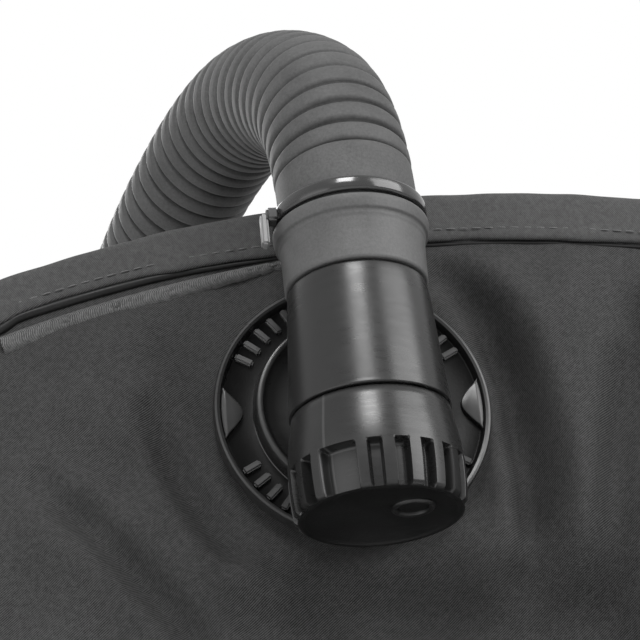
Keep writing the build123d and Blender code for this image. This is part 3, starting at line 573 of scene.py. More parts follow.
# Slots of one third: middle and half width in millimetres along the grip.
CAP_SLOTS = [(0.0, 4.2)] + [(8.5 + 5.9 * k, 1.4) for k in range(5)]
SLOT_TOP, SLOT_BOTTOM, SLOT_DEPTH, SLOT_FROM_R = -26.0, -36.0, 2.6, 17.9


def cap_wave(radius, height, angle):
    """The cap's grip: slots cut into its lower part, one broad and five narrow in each third of a turn."""
    if radius < SLOT_FROM_R or not SLOT_BOTTOM <= height <= SLOT_TOP:
        return radius
    run = (angle - CAP_TURN) % CAP_THIRD * CAP_GRIP_R
    inside = 0.0
    for middle, half in CAP_SLOTS:
        off = min(abs(run - middle), CAP_THIRD * CAP_GRIP_R - abs(run - middle))
        inside = max(inside, min(1.0, max(0.0, (half - off) / 0.45 + 0.5)))
    return radius - SLOT_DEPTH * inside * min(1.0, (SLOT_TOP - height) / 0.5)


def elbow_cap():
    """The vented cap: slotted grip, a rim and a recessed base with an off-centre port."""
    heights = np.linspace(-18, -35.8, 60)
    flank = [(19.55 - 0.9 * (abs(h + 28) / 10) ** 2, h) for h in heights]
    profile = [(14.6, -12.9), (17.5, -12.9), (17.9, -13.2), (18.2, -15), (18.5, -17), *flank,
               (18.2, -36.5), (17.4, -36.7), (16.9, -36.3), (16.5, -35.7), (0.01, -35.7)]
    obj = lathe("cap_shell", profile, scaled(ELBOW), 720, cap_wave)
    smooth_by_angle(obj, 50)
    port_place = ELBOW @ Matrix.Translation((-6.5 * MM, 3.9 * MM, 0))
    port = lathe("port", rounded([(4.9, -35.2), (4.9, -36.3), (4.3, -36.8), (3.6, -36.5), (3.3, -34.9)], 0.2),
                 scaled(port_place), 64)
    whole = joined([obj, port], "elbow_cap_shell")
    smooth_by_angle(whole, 50)
    # The cap's downward base is a near-black matt disc: painted shade.
    base_profile = [(18.0, -36.6), (17.4, -36.85), (16.8, -36.5), (16.4, -35.95), (0.01, -35.95)]
    base = lathe("cap_base_painted_shade", base_profile, scaled(ELBOW), 96)
    dress(base, PAINTED_SHADE)
    dress(whole, VALVE, VEST, ["elbow_cap"])


def collar():
    """The grey rubber skirt above the barrel, with its flared lip."""
    profile = [(13, 19.0), (16.3, 19.0), (16.6, 19.5), (16.75, 26), (16.95, 29.4), (17.15, 30.1),
               (17.2, 30.5), (17.35, 31.0), (17.9, 31.4), (18.3, 33.4), (18.35, 34.3),
               (18.0, 34.8), (13, 34.8)]
    soft = rounded([*profile, *profile[:2]], 0.35)[1:-1]
    obj = lathe("collar_skirt", [*soft, soft[0]], scaled(ELBOW), 160)
    smooth_by_angle(obj, 40)
    dress(obj, COLLAR, VEST, ["hose_collar"])


def small_block(name, size, place, bevel):
    """A box with rounded edges, sizes in millimetres."""
    bm = bmesh.new()
    bmesh.ops.create_cube(bm, size=1)
    bmesh.ops.scale(bm, vec=Vector(size) * MM, verts=bm.verts)
    bmesh.ops.bevel(bm, geom=bm.edges[:] + bm.verts[:], offset=bevel * MM, segments=3, affect="EDGES")
    bmesh.ops.transform(bm, matrix=place, verts=bm.verts)
    return from_bmesh(name, bm)


def moved_by(x, y, z):
    """A shift written in millimetres."""
    return Matrix.Translation(Vector((x, y, z)) * MM)


def tie(name, place):
    """A glossy tie ring with its small ratchet."""
    profile = [(16.7, 0.4), (17.6, 0.15), (18.15, 0.7), (18.25, 2.1), (18.15, 3.4), (17.6, 3.95), (16.7, 3.7)]
    ring = lathe("ring", rounded([*profile, profile[0]], 0.4), scaled(place), 128)
    head = small_block("head", (3.0, 4.2, 3.4), place @ moved_by(18.6, 4, 1.4), 0.6)
    return joined([ring, head], name)


def hose_ties():
    """The ties at the hose's two ends, with their paler tails."""
    upper_place = ELBOW @ Matrix.Translation((0, 0, 35.5 * MM))
    lower_place = moved_by(138, -398, 57.2)
    tails = [small_block("tail", (1.8, 3.4, 8.0), place @ moved_by(20.6, 4, -2.4), 0.5)
             for place in (upper_place, lower_place)]
    tabs = joined(tails, "tie_tails")
    smooth_by_angle(tabs, 45)
    dress(tabs, TIE_TAIL)
    obj = joined([tie("upper_tie", upper_place), tie("lower_tie", lower_place)], "hose_ties")
    smooth_by_angle(obj, 45)
    dress(obj, CLAMP, VEST, ["hose_clamps"])


FLANGE = Matrix.Translation(FLANGE_AT) @ ON_REAR @ Matrix.Rotation(math.radians(180), 4, "Z")
SCALLOP_R, SCALLOP_DEPTH, SCALLOP_ANGLE, SCALLOP_FLOOR = 31.2, 5.2, 0.42, 2.5
TEETH, TOOTH_STEP, TOOTH_R = 5, 8, 28.4


def scallop(middle):
    """One raised scallop on the flange's trough, its chord on the rim."""
    outline = [(SCALLOP_R, t * SCALLOP_ANGLE) for t in np.linspace(-0.5, 0.5, 15)]
    outline += [(SCALLOP_R - SCALLOP_DEPTH * math.cos(math.pi * t), t * SCALLOP_ANGLE)
                for t in np.linspace(0.5, -0.5, 15)]
    bm = bmesh.new()
    ring = []
    for r, a in outline:
        corner = Vector((r * math.cos(middle + a), r * math.sin(middle + a), SCALLOP_FLOOR))
        ring.append(bm.verts.new(scaled(FLANGE) @ corner))
    out = bmesh.ops.extrude_face_region(bm, geom=[bm.faces.new(ring)])
    tops = [v for v in out["geom"] if isinstance(v, bmesh.types.BMVert)]
    bmesh.ops.translate(bm, verts=tops, vec=(0, 1.9 * MM, 0))
    return modified(from_bmesh("lens", bm), "BEVEL", width=0.35 * MM, segments=2)


def flange():
    """The retaining flange: rim, sunk trough with scallops and grip teeth, and a raised boss."""
    profile = [(12.7, 1.2), (32.6, 1.2), (33.0, 1.6), (33.0, 4.4), (32.7, 5.0), (32.2, 5.2), (31.6, 5.0),
               (31.3, 4.4), (30.9, 2.9), (30.4, 2.6), (24.0, 2.6), (23.6, 2.9), (23.2, 6.2), (22.8, 6.8),
               (22.2, 7.0), (21.5, 6.8), (20.9, 5.9), (20.4, 5.6), (12.7, 5.5)]
    parts = [lathe("ring", [*profile, profile[0]], scaled(FLANGE), 200)]
    for k in range(4):
        middle = math.radians(5 + 90 * k)
        parts.append(scallop(middle))
        for tooth in range(TEETH):
            angle = middle + math.radians(45 + (tooth - TEETH // 2) * TOOTH_STEP)
            turn = FLANGE @ Matrix.Rotation(angle, 4, "Z") @ moved_by(TOOTH_R, 0, 3.0)
            parts.append(small_block("tooth", (4.6, 1.7, 2.0), turn, 0.4))
    # A near-black matt sheet laid in the trough: painted shade.
    trough = lathe("flange_trough_painted_shade", [(23.3, 2.75), (30.9, 2.75), (31.1, 3.2)], scaled(FLANGE), 160)
    dress(trough, PAINTED_SHADE)
    obj = joined(parts, "flange_ring")
    smooth_by_angle(obj, 35)
    dress(obj, VALVE, VEST, ["retaining_flange"])


# ---------------------------------------------------------------- corrugated hose

HOSE_START = ELBOW @ Vector((0, 0, 35.2 * MM))
HOSE_RISE = ELBOW @ Vector((0, 0, 65.4 * MM))
HOSE_ROUTE = [
    tuple(HOSE_START),
    tuple(HOSE_RISE),
    (0.128, -0.095, 0.266),
    (0.141, -0.126, 0.276),
    (0.159, -0.174, 0.262),
    (0.171, -0.232, 0.246),
    (0.176, -0.284, 0.221),
    (0.171, -0.334, 0.183),
    (0.154, -0.376, 0.137),
    (0.138, -0.398, 0.094),
    (0.138, -0.398, 0.056),
]
HOSE_R = 16.6 * MM
CORRUGATION = 5.4 * MM
GROOVE = 2.9 * MM
CUFF = 13.5 * MM


def corrugated_hose():
    """The hose: smooth cuffs at its ends and round-topped rings between, on the route's smooth line."""
    line = spline_points(HOSE_ROUTE, 0.3 * MM)
    along = distance_along(line)
    length = along[-1]
    rings = round((length - 2 * CUFF) / CORRUGATION)
    phase = (along - CUFF) / (length - 2 * CUFF) * rings
    beat = 2 * (phase - np.floor(phase)) - 1
    ridge = np.sqrt(np.clip(1 - np.abs(beat) ** 4.5, 0, 1))
    radii = HOSE_R - GROOVE + GROOVE * ridge
    near_end = np.minimum(along, length - along)
    radii = np.where(near_end < CUFF, HOSE_R - 0.15 * MM, radii)
    lip = near_end < 1.0 * MM
    radii = np.where(lip, HOSE_R - 0.5 * MM + 0.35 * near_end, radii)
    obj = tube("breathing_hose", line, radii, 56, (1, 0, 0))
    dress(obj, HOSE, VEST, ["corrugated_hose"])


# ---------------------------------------------------------------- the torso that the soft parts wrap

MIDDLE_Y = (BACK_Y + FRONT_Y) / 2
CORE_HALF_Y = (BACK_Y - FRONT_Y) / 2 - TORSO_R
FLAT_RUN = CORNER_X
SIDE_RUN = 2 * CORE_HALF_Y


def around(offset, run, side):
    """A place on the torso's wrap, run metres from the front's middle, and the way out of it."""
    radius = TORSO_R + offset
    bend = radius * math.pi / 2
    if run <= FLAT_RUN:
        point, out = (run, FRONT_Y - offset), (0, -1)
    elif run <= FLAT_RUN + bend:
        angle = (run - FLAT_RUN) / radius
        out = (math.sin(angle), -math.cos(angle))
        point = (CORNER_X + radius * out[0], MIDDLE_Y - CORE_HALF_Y + radius * out[1])
    elif run <= FLAT_RUN + bend + SIDE_RUN:
        point, out = (CORNER_X + radius, MIDDLE_Y - CORE_HALF_Y + run - FLAT_RUN - bend), (1, 0)
    else:
        angle = (run - FLAT_RUN - bend - SIDE_RUN) / radius
        out = (math.cos(angle), math.sin(angle))
        point = (CORNER_X + radius * out[0], MIDDLE_Y + CORE_HALF_Y + radius * out[1])
    return np.array([side * point[0], point[1], 0.0]), np.array([side * out[0], out[1], 0.0])


def wrap_run(offset, start, end, z, side):
    """Points and outward normals along the wrap at one height, about 3 mm apart."""
    count = max(2, int(abs(end - start) / (3 * MM)) + 1)
    points, normals = [], []
    for run in np.linspace(start, end, count):
        point, out = around(offset, run, side)
        points.append(point + np.array([0, 0, z]))
        normals.append(out)
    return np.array(points), np.array(normals)


def core_vectors(points):
    """From the torso's inner core line to each point, in plan; its length less TORSO_R is the offset."""
    core = np.stack([np.clip(points[:, 0], -CORNER_X, CORNER_X),
                     MIDDLE_Y + np.clip(points[:, 1] - MIDDLE_Y, -CORE_HALF_Y, CORE_HALF_Y)], axis=1)
    return core, points[:, :2] - core


def limit_offset(points, low, high):
    """Keeps points between two offsets from the torso, given as numbers or one for each point."""
    core, out = core_vectors(points)
    length = np.linalg.norm(out, axis=1)
    kept = np.clip(length, TORSO_R + low, TORSO_R + high)
    points[:, :2] = core + out * (kept / length)[:, None]
    return points


def step(value, low, high):
    """A smooth rise from 0 at low to 1 at high."""
    t = np.clip((value - low) / (high - low), 0, 1)
    return t * t * (3 - 2 * t)


# ---------------------------------------------------------------- padded fabric by cloth simulation

SIM_FRAMES = 16


def fabric_copy(name, node, voxel, smoothing, top=None):
    """A CAD soft solid, up to the height top, as an even mesh with softened corners."""
    obj = linked(name, NODES[node].data.copy())
    obj.data.materials.clear()
    if top is not None:
        points = coordinates(obj)
        points[:, 2] = np.minimum(points[:, 2], top)
        set_coordinates(obj, points)
    modified(obj, "REMESH", mode="VOXEL", voxel_size=voxel)
    return modified(obj, "SMOOTH", factor=0.5, iterations=smoothing)


def inflate(obj, cap, pressure=4.0, slack=0.0, held=None):
    """Blows the fabric up with Blender's cloth, keeps each point within cap, and applies it."""
    before = coordinates(obj)
    cloth = obj.modifiers.new("cloth", "CLOTH")
    settings = cloth.settings
    settings.quality = 4
    settings.mass = 0.3
    settings.tension_stiffness = settings.compression_stiffness = 12
    settings.bending_stiffness = 0.4
    settings.use_pressure = True
    settings.uniform_pressure_force = pressure
    settings.effector_weights.gravity = 0
    settings.shrink_min = -slack
    if held is not None:
        group = obj.vertex_groups.new(name="held")
        for index, weight in enumerate(held):
            if weight > 0.01:
                group.add([index], float(weight), "REPLACE")
        settings.vertex_group_mass = "held"
    cloth.point_cache.frame_start = 1
    cloth.point_cache.frame_end = SIM_FRAMES
    for frame_number in range(1, SIM_FRAMES + 1):
        bpy.context.scene.frame_set(frame_number)
    applied(obj)
    bpy.context.scene.frame_set(1)
    moved = coordinates(obj) - before
    distance = np.linalg.norm(moved, axis=1)
    share = np.minimum(1, cap / np.maximum(distance, 1e-9))
    set_coordinates(obj, before + moved * share[:, None])
    return obj


# ---------------------------------------------------------------- rear air cell

PANEL_HALF_W, WAIST_HALF_W = 0.208, 0.196
SHOULDER_CORNER_R, WAIST_CORNER_R = 0.020, 0.036
PACK_HALF_W, PACK_TOP, PACK_BOTTOM = 0.090, 0.120, -0.196
PACK_DIP = 0.0114
DUMPS = {"upper": (-0.112, 0.175), "lower": (-0.146, -0.208)}


SHOULDER_Z = TOP_Z - SHOULDER_R + math.sqrt(SHOULDER_R**2 - (PANEL_HALF_W - CROWN_HALF_W) ** 2)
ARC_AT = np.array([CROWN_HALF_W, TOP_Z - SHOULDER_R])
SIDE_FROM = np.array([PANEL_HALF_W, SHOULDER_Z])
SIDE_DOWN = np.array([WAIST_HALF_W - PANEL_HALF_W, BOTTOM_Z - SHOULDER_Z])
SIDE_DOWN /= np.linalg.norm(SIDE_DOWN)
SIDE_IN = np.array([SIDE_DOWN[1], -SIDE_DOWN[0]])


def shoulder_corner():
    """The centre of the corner between the falling top edge and the side."""
    start = SIDE_FROM + SIDE_IN * SHOULDER_CORNER_R - ARC_AT
    half = start @ SIDE_DOWN
    reach = (SHOULDER_R - SHOULDER_CORNER_R) ** 2
    return ARC_AT + start + SIDE_DOWN * (-half - math.sqrt(half**2 - start @ start + reach))


def waist_corner():
    """The centre of the corner between the side and the bottom edge."""
    height = BOTTOM_Z + WAIST_CORNER_R
    start = SIDE_FROM + SIDE_IN * WAIST_CORNER_R
    return start + SIDE_DOWN * (height - start[1]) / SIDE_DOWN[1]


SHOULDER_CORNER = shoulder_corner()
WAIST_CORNER = waist_corner()


def top_edge(x):
    """Height of the panel's top edge at x."""
    run = np.maximum(np.abs(x) - CROWN_HALF_W, 0)
    return TOP_Z - SHOULDER_R + np.sqrt(SHOULDER_R**2 - np.minimum(run, 0.2) ** 2)


def edge_distance(x, z):
    """How far a point of the panel lies inside its rounded outline."""
    x = np.abs(x)
    arc = np.where(x > CROWN_HALF_W, SHOULDER_R - np.hypot(x - ARC_AT[0], z - ARC_AT[1]), TOP_Z - z)
    side = (x - SIDE_FROM[0]) * SIDE_IN[0] + (z - SIDE_FROM[1]) * SIDE_IN[1]
    base = z - BOTTOM_Z
    near = np.minimum(np.minimum(arc, side), base)
    at_shoulder = SHOULDER_CORNER_R - np.hypot(x - SHOULDER_CORNER[0], z - SHOULDER_CORNER[1])
    at_waist = WAIST_CORNER_R - np.hypot(x - WAIST_CORNER[0], z - WAIST_CORNER[1])
    in_shoulder = (arc < SHOULDER_CORNER_R) & (side < SHOULDER_CORNER_R)
    in_waist = (base < WAIST_CORNER_R) & (side < WAIST_CORNER_R)
    near = np.where(in_shoulder, np.minimum(near, at_shoulder), near)
    return np.where(in_waist, np.minimum(near, at_waist), near)


def from_disc(points, x, z):
    """Distance from an axis through the panel."""
    return np.hypot(points[:, 0] - x, points[:, 2] - z)


def from_pack(points):
    """Distance outside the backpack's footprint."""
    dx = np.maximum(np.abs(points[:, 0]) - PACK_HALF_W + 0.006, 0)
    dz = np.maximum(np.maximum(points[:, 2] - PACK_TOP + 0.006, PACK_BOTTOM + 0.006 - points[:, 2]), 0)
    return np.hypot(dx, dz)


# Soft folds of the rear fabric: half width and height in millimetres, then the fold's line in x and z.
FOLDS = (
    (4.4, -6.4, (88, 214), (78, 202), (72, 181), (68.5, 160), (71, 138)),
    (2.8, 2.0, (82, 180), (76, 156), (75, 142)),
    (9.0, 1.8, (64, 212), (59, 190), (60, 152)),
    (3.4, -5.0, (184, 154), (167, 139), (149, 120), (141, 108)),
    (7.0, 1.6, (182, 140), (163, 122)),
    (3.2, -3.6, (159, 172), (150, 154), (140, 138)),
    (3.6, 2.0, (147, 138), (137, 132), (125, 126)),
    (7.0, -5.0, (136, 120), (101, 127), (55, 131)),
    (4.2, -4.8, (46, 190), (49, 161), (51, 126)),
    (5.0, -2.4, (-60, 214), (-58, 190), (-52, 150)),
    (5.0, -2.4, (-140, 140), (-122, 118), (-116, 90)),
    (5.5, -2.6, (-178, 96), (-160, 60), (-158, 10)),
    (6.0, 1.8, (-140, 40), (-138, -20)),
    (5.0, -2.6, (178, 60), (160, 20), (164, -30)),
    (6.0, 2.0, (130, 70), (132, 10)),
    (5.0, -2.6, (112, -60), (122, -100), (150, -130)),
    (5.0, -2.4, (-112, -80), (-120, -130), (-108, -160)),
    (5.0, -2.6, (60, -216), (100, -232), (150, -226)),
    (6.0, 2.0, (-80, -226), (-30, -238), (30, -232)),
    (5.0, -2.4, (-60, -246), (0, -258), (60, -250)),
)


def fold_height(points):
    """The sum of the soft folds, in metres."""
    place = points[:, [0, 2]] / MM
    total = np.zeros(len(points))
    for half_width, height, *line in FOLDS:
        nearest = np.full(len(points), 1e9)
        share = np.zeros(len(points))
        for k in range(len(line) - 1):
            start, way = np.array(line[k]), np.array(line[k + 1]) - np.array(line[k])
            t = np.clip((place - start) @ way / (way @ way), 0, 1)
            gap = np.linalg.norm(place - start - t[:, None] * way, axis=1)
            closer = gap < nearest
            nearest = np.where(closer, gap, nearest)
            share = np.where(closer, (k + t) / (len(line) - 1), share)
        taper = np.sin(math.pi * (0.12 + 0.76 * share)) ** 0.8
        shoulder = 0.35 * np.exp(-((nearest - 2.1 * half_width) / (0.9 * half_width)) ** 2)
        total += height * MM * taper * (np.exp(-((nearest / half_width) ** 2)) - shoulder)
    return total


FLANGE_CLEAR, DUMP_CLEAR = 0.034, 0.027
# What lies over the rear fabric: middle x and z, then half width and half height.
OVER_REAR = (
    (DUMPS["upper"][0], 0.105, 0.0, 0.055),
    (DUMPS["lower"][0], -0.250, 0.0, 0.040),
)
HANDLE_AREA = (0.0, 0.196, 0.034, 0.028)


def fitting_gaps(points):
    """Distances from the flange's axis, and from the nearer dump valve's."""
    flange_gap = from_disc(points, FLANGE_AT.x, FLANGE_AT.z)
    return flange_gap, np.minimum(from_disc(points, *DUMPS["upper"]), from_disc(points, *DUMPS["lower"]))


def from_area(points, x, z, half_w, half_h):
    """Distance outside an upright rectangle on the panel."""
    return np.hypot(np.maximum(np.abs(points[:, 0] - x) - half_w, 0),
                    np.maximum(np.abs(points[:, 2] - z) - half_h, 0))


def sewn_panel(obj):
    """Thins the cell towards its rim; returns how far in its points lie and which are at the rear."""
    points = coordinates(obj)
    depth = (REAR_Y - points[:, 1]) / (REAR_Y - BACK_Y)
    on_pack = from_pack(points) <= 0.0095
    rear = (depth < 0.04) | (on_pack & (depth < 0.42))
    inside = edge_distance(points[:, 0], points[:, 2])
    rise = np.clip(inside / 0.055, 0, 1)
    thick = 0.10 + 0.90 * np.sqrt(1 - (1 - rise) ** 2)
    dip = PACK_DIP * (1 - step(from_pack(points), 0, 0.030))
    swollen = REAR_Y - (REAR_Y - BACK_Y) * np.maximum(depth, 0.02) * thick
    points[:, 1] = np.where(rear, REAR_Y - dip, swollen)
    set_coordinates(obj, points)
    modified(obj, "SMOOTH", factor=0.5, iterations=5)
    return inside, rear


def swell(obj, inside, rear):
    """Inflates the panel, calm where something lies on it."""
    start = coordinates(obj)
    flange_gap, dump_gap = fitting_gaps(start)
    fixed = (flange_gap < FLANGE_CLEAR) | (dump_gap < DUMP_CLEAR) | (from_pack(start) < 0.004)
    held = (inside < 0.012) | (rear & fixed)
    inflate(obj, 7 * MM, pressure=3.0, slack=0.02, held=held.astype(float))
    points = coordinates(obj)
    cords = np.minimum(*(from_area(points, *area) for area in OVER_REAR))
    fittings = np.minimum(flange_gap - FLANGE_CLEAR, dump_gap - DUMP_CLEAR)
    lying = np.minimum(cords - 0.010, from_area(points, *HANDLE_AREA))
    calm = step(np.minimum(fittings, lying), 0, 0.02)
    calm = calm * step(inside, 0.012, 0.024) * step(from_pack(points), 0.004, 0.03)
    moved = points - start
    moved[:, 1] = np.where(rear, np.minimum(moved[:, 1], 4.5 * MM) * calm, moved[:, 1])
    points = start + moved
    points[:, 1] = np.where(rear & (calm < 0.01), np.minimum(points[:, 1], REAR_Y), points[:, 1])
    set_coordinates(obj, points)


def fold_rear(obj):
    """Adds the soft folds, and the small puckers round the flange."""
    points = coordinates(obj)
    normals = np.empty(len(points) * 3)
    obj.data.vertices.foreach_get("normal", normals)
    facing = normals.reshape(-1, 3)[:, 1] > 0.3
    flange_gap, dump_gap = fitting_gaps(points)
    inside = edge_distance(points[:, 0], points[:, 2])
    keep = step(flange_gap, 0.034, 0.039) * step(dump_gap, 0.028, 0.040) * step(inside, 0.014, 0.022)
    keep = keep * step(from_pack(points), 0.001, 0.008)
    angle = np.arctan2(points[:, 2] - FLANGE_AT.z, points[:, 0] - FLANGE_AT.x)
    ring = np.exp(-((flange_gap - 0.040) / 0.010) ** 2) * 0.35 * MM
    pull = ring * np.sin(11 * angle + 1.1) * step(flange_gap, 0.034, 0.037)
    points[:, 1] += np.where(facing, fold_height(points) * keep + pull, 0)
    near_flange = facing & (flange_gap < 0.0345)
    points[:, 1] = np.where(near_flange, np.minimum(points[:, 1], REAR_Y + 0.4 * MM), points[:, 1])
    set_coordinates(obj, points)


def rear_bladder():
    """The rear of the bladder: a thin sewn rim, swollen fabric between, pressed in by what is fixed to it."""
    obj = fabric_copy("rear_bladder", "rear_air_cell", 4.5 * MM, 2)
    inside, rear = sewn_panel(obj)
    swell(obj, inside, rear)
    modified(obj, "SUBSURF", levels=1)
    fold_rear(obj)
    dress(obj, REAR_FABRIC, VEST, ["rear_air_cell"])


def corner_run(centre, radius, start, end):
    """Points round one rounded corner, between two directions in degrees."""
    return [(centre[0] + radius * math.cos(math.radians(a)), centre[1] + radius * math.sin(math.radians(a)))
            for a in np.linspace(start, end, 14)]


def outline_path():
    """The panel's outline as a loop: from the bottom's middle up the wearer's left and down the right."""
    side_lean = math.degrees(math.atan2(-SIDE_IN[1], -SIDE_IN[0]))
    way = SHOULDER_CORNER - ARC_AT
    arc_lean = math.degrees(math.atan2(way[1], way[0]))
    half = [(0.0, BOTTOM_Z)]
    half += corner_run(WAIST_CORNER, WAIST_CORNER_R, -90, side_lean)
    half += corner_run(SHOULDER_CORNER, SHOULDER_CORNER_R, side_lean, arc_lean)
    for a in np.radians(np.linspace(arc_lean, 90, 40)[1:]):
        half.append((ARC_AT[0] + SHOULDER_R * math.cos(a), ARC_AT[1] + SHOULDER_R * math.sin(a)))
    half.append((0.0, TOP_Z))
    half = np.array(half)
    whole = np.vstack([half, (half * np.array([-1, 1]))[::-1][1:]])
    return respaced(np.column_stack([whole[:, 0], np.full(len(whole), REAR_Y), whole[:, 1]]), 2.5 * MM)


TAPE_W = 13.2 * MM
STITCH_INSET = 10.2 * MM
# The tape's section: across from the panel's outline inwards and up from its rear face, in millimetres.
TAPE_OUTER = [(12.9, 0.4), (13.0, 1.3), (12.0, 1.9), (9.5, 1.7), (6.5, 1.75), (3.5, 1.8), (1.4, 1.5),
              (0.2, 0.5), (-0.35, -1.2), (-0.2, -3.2), (0.8, -4.6), (3, -5.4), (7, -6.0),
              (11.6, -6.6), (12.4, -6.2)]
TAPE_INNER = [(12, -5.2), (3, -4.0), (1.2, -2.0), (3, -0.4), (11.8, 0.0)]
SIDE_TAPE_SHARE = 0.52
TOP_TAPE_X, TOP_TAPE_SHARE = (0.089, 0.129, 0.165, 0.195), (1.10, 1.04, 0.88, 0.83)
TAPE_WAVES = ((37, 0.25), (83, 0.18), (151, 0.12))


def tape_width(points):
    """The edging tape's width at each point of the outline, as a share of its full width."""
    x = np.abs(points[:, 0])
    along_top = np.interp(x, TOP_TAPE_X, TOP_TAPE_SHARE)
    below_top = np.where(points[:, 2] > 0, top_edge(x) - points[:, 2], 1.0)
    return along_top + (SIDE_TAPE_SHARE - along_top) * step(below_top, 0.001, 0.015)


def panel_binding():
    """The edging tape, folded over the panel's rim all the way round and broadest along the top."""
    path = outline_path()
    width = tape_width(path)
    inward = np.cross(unit_tangents(path), np.array([0, 1, 0]))
    if inward[len(path) // 2, 2] > 0:
        inward = -inward
    section = [(across * MM, up * MM) for across, up in TAPE_OUTER + TAPE_INNER]
    wander = np.zeros(len(path))
    for k, (waves, size) in enumerate(TAPE_WAVES):
        wander += size * MM * np.sin(np.linspace(0, 2 * math.pi * waves, len(path)) + k)
    rings = []
    for i, point in enumerate(path):
        lump = wander[i]
        ring = []
        for across, up in section:
            inset = across * (width[i] if across > 0 else 1) + (lump if across > 11 * MM else 0)
            ring.append(point + inward[i] * inset + np.array([0, up + (lump if up > 0 else 0), 0]))
        rings.append(ring)
    faces = grid_faces(len(path), len(section), close_columns=True)
    obj = new_object("panel_binding", np.array(rings).reshape(-1, 3), faces)
    modified(obj, "SUBSURF", levels=1)
    dress(obj, BINDING, VEST, ["edge_binding"])
    # A dark tube along the tape's inner edge: a seam line, widened towards the wearer's left into a painted
    # shadow under the tape.
    seam_and_shadow_radius = (0.5 + 0.8 * step(path[:, 0], 0.130, 0.180)) * MM
    seam_and_shadow_line = path + inward * (TAPE_W * width + 0.4 * seam_and_shadow_radius)[:, None] + np.array([0, 0.1 * MM, 0])
    line = tube("line", seam_and_shadow_line, seam_and_shadow_radius, 8, (0, 1, 0))
    dress(line, PAINTED_SHADE).name = "binding_seam_and_painted_shadow"
    seam = path + inward * (STITCH_INSET * width)[:, None] + np.array([0, 1.8 * MM, 0])
    rearward = np.tile([0.0, 1.0, 0.0], (len(seam), 1))
    stitches = stitch_run("binding_stitches", seam, rearward, 2.4 * MM, 0.9 * MM, 0.2 * MM)
    dress(stitches, THREAD)


def puckered_seam():
    """The gathered edge that shows below the binding towards the wearer's left shoulder."""
    xs = np.arange(0.126, 0.2035, 0.5 * MM)
    columns = 9
    gather = np.convolve(rng.normal(size=len(xs) + 2), (0.3, 0.4, 0.3), "valid")
    rings = []
    for x, lump in zip(xs, gather):
        share = (x - xs[0]) / (xs[-1] - xs[0])
        width = (0.9 + 3.2 * min(1, share * 1.9)) * MM
        run = x - CROWN_HALF_W
        down = np.array([-run, -math.sqrt(SHOULDER_R**2 - run**2)]) / SHOULDER_R
        edge = np.array([x, float(top_edge(x))]) + down * 15.0 * MM
        for c in range(columns):
            t = c / (columns - 1)
            ripple = 1.6 * lump * math.cos(5 * math.pi * t + 3 * lump)
            lift = (-0.5 + (1.3 + 0.35 * ripple) * math.sin(math.pi * t) ** 0.6) * MM
            place = edge + down * (width * t + 0.25 * MM * lump * t)
            rings.append((place[0], REAR_Y + lift, place[1]))
    obj = new_object("puckered_seam", rings, grid_faces(len(xs), columns))
    modified(obj, "SOLIDIFY", thickness=0.8 * MM, offset=-1)
    modified(obj, "SUBSURF", levels=1)
    # The strip's pale cloth is painted highlight.
    dress(obj, PAINTED_HIGHLIGHT_PUCKER)


# ---------------------------------------------------------------- front lobes, pads, pockets and straps


# Where something lies on a lobe: from and to in |x|, the last y, then from and to in z.
COVERED = (
    (0.073, 0.111, -0.3, -0.070, 0.100),
    (0.0, 0.116, -0.3, -0.146, -0.094),
    (0.060, 0.3, -0.215, -0.278, -0.150),
    (0.118, 0.3, -0.250, -0.142, -0.050),
    (0.085, 0.115, -0.3, -0.3, -0.276),
)
POUCH_PATH_OFFSET = 0.0368


def covered_share(points, x0, x1, y1, z0, z1):
    """One inside a covered area, falling to zero 12 mm outside it."""
    x, y, z = np.abs(points[:, 0]), points[:, 1], points[:, 2]
    gap = np.hypot(np.maximum(np.maximum(x0 - x, x - x1), 0), np.maximum(np.maximum(z0 - z, z - z1), 0))
    return 1 - step(gap + np.maximum(y - y1, 0), 0, 0.012)


def attachment_cap(points):
    """Largest offset of the lobe's face: less where something lies on it or slides over it."""
    covered = np.maximum.reduce([covered_share(points, *area) for area in COVERED])
    cap = LOBE_T + 0.2 * MM + 5.0 * MM * (1 - covered)
    x, y, z = np.abs(points[:, 0]), points[:, 1], points[:, 2]
    pouch_path = (x > 0.112) & (y < -0.243) & (z > -0.15) & (z < 0.062)
    return np.where(pouch_path, np.minimum(cap, POUCH_PATH_OFFSET), cap)


def mirrored_piece(obj, name):
    """The same piece on the wearer's other side."""
    points = coordinates(obj) * np.array([-1, 1, 1])
    faces = [tuple(p.vertices)[::-1] for p in obj.data.polygons]
    return new_object(name, points, faces)


def padded_pair(obj, name, node, material, rides_on_node=False):
    """Dresses the padded piece on the left, and its mirror image on the right."""
    other = mirrored_piece(obj, f"right_{name}")
    for piece, word in ((obj, "left"), (other, "right")):
        dress(piece, material, f"{word}_{node}" if rides_on_node else VEST, [f"{word}_{node}"])


def front_lobes():
    """The air lobes round the wearer's sides and chest."""
    obj = fabric_copy("left_lobe", "left_front_lobe", 6 * MM, 10)
    inflate(obj, 9 * MM, pressure=3.5, slack=0.02)
    points = coordinates(obj)
    limit_offset(points, 0.0, attachment_cap(points))
    points[:, 1] = np.minimum(points[:, 1], BACK_Y - 0.3 * MM)
    set_coordinates(obj, points)
    modified(obj, "SUBSURF", levels=1)
    padded_pair(obj, "lobe", "front_lobe", FABRIC)


QUILT_W, QUILT_DEPTH = 3.5 * MM, 3.2 * MM


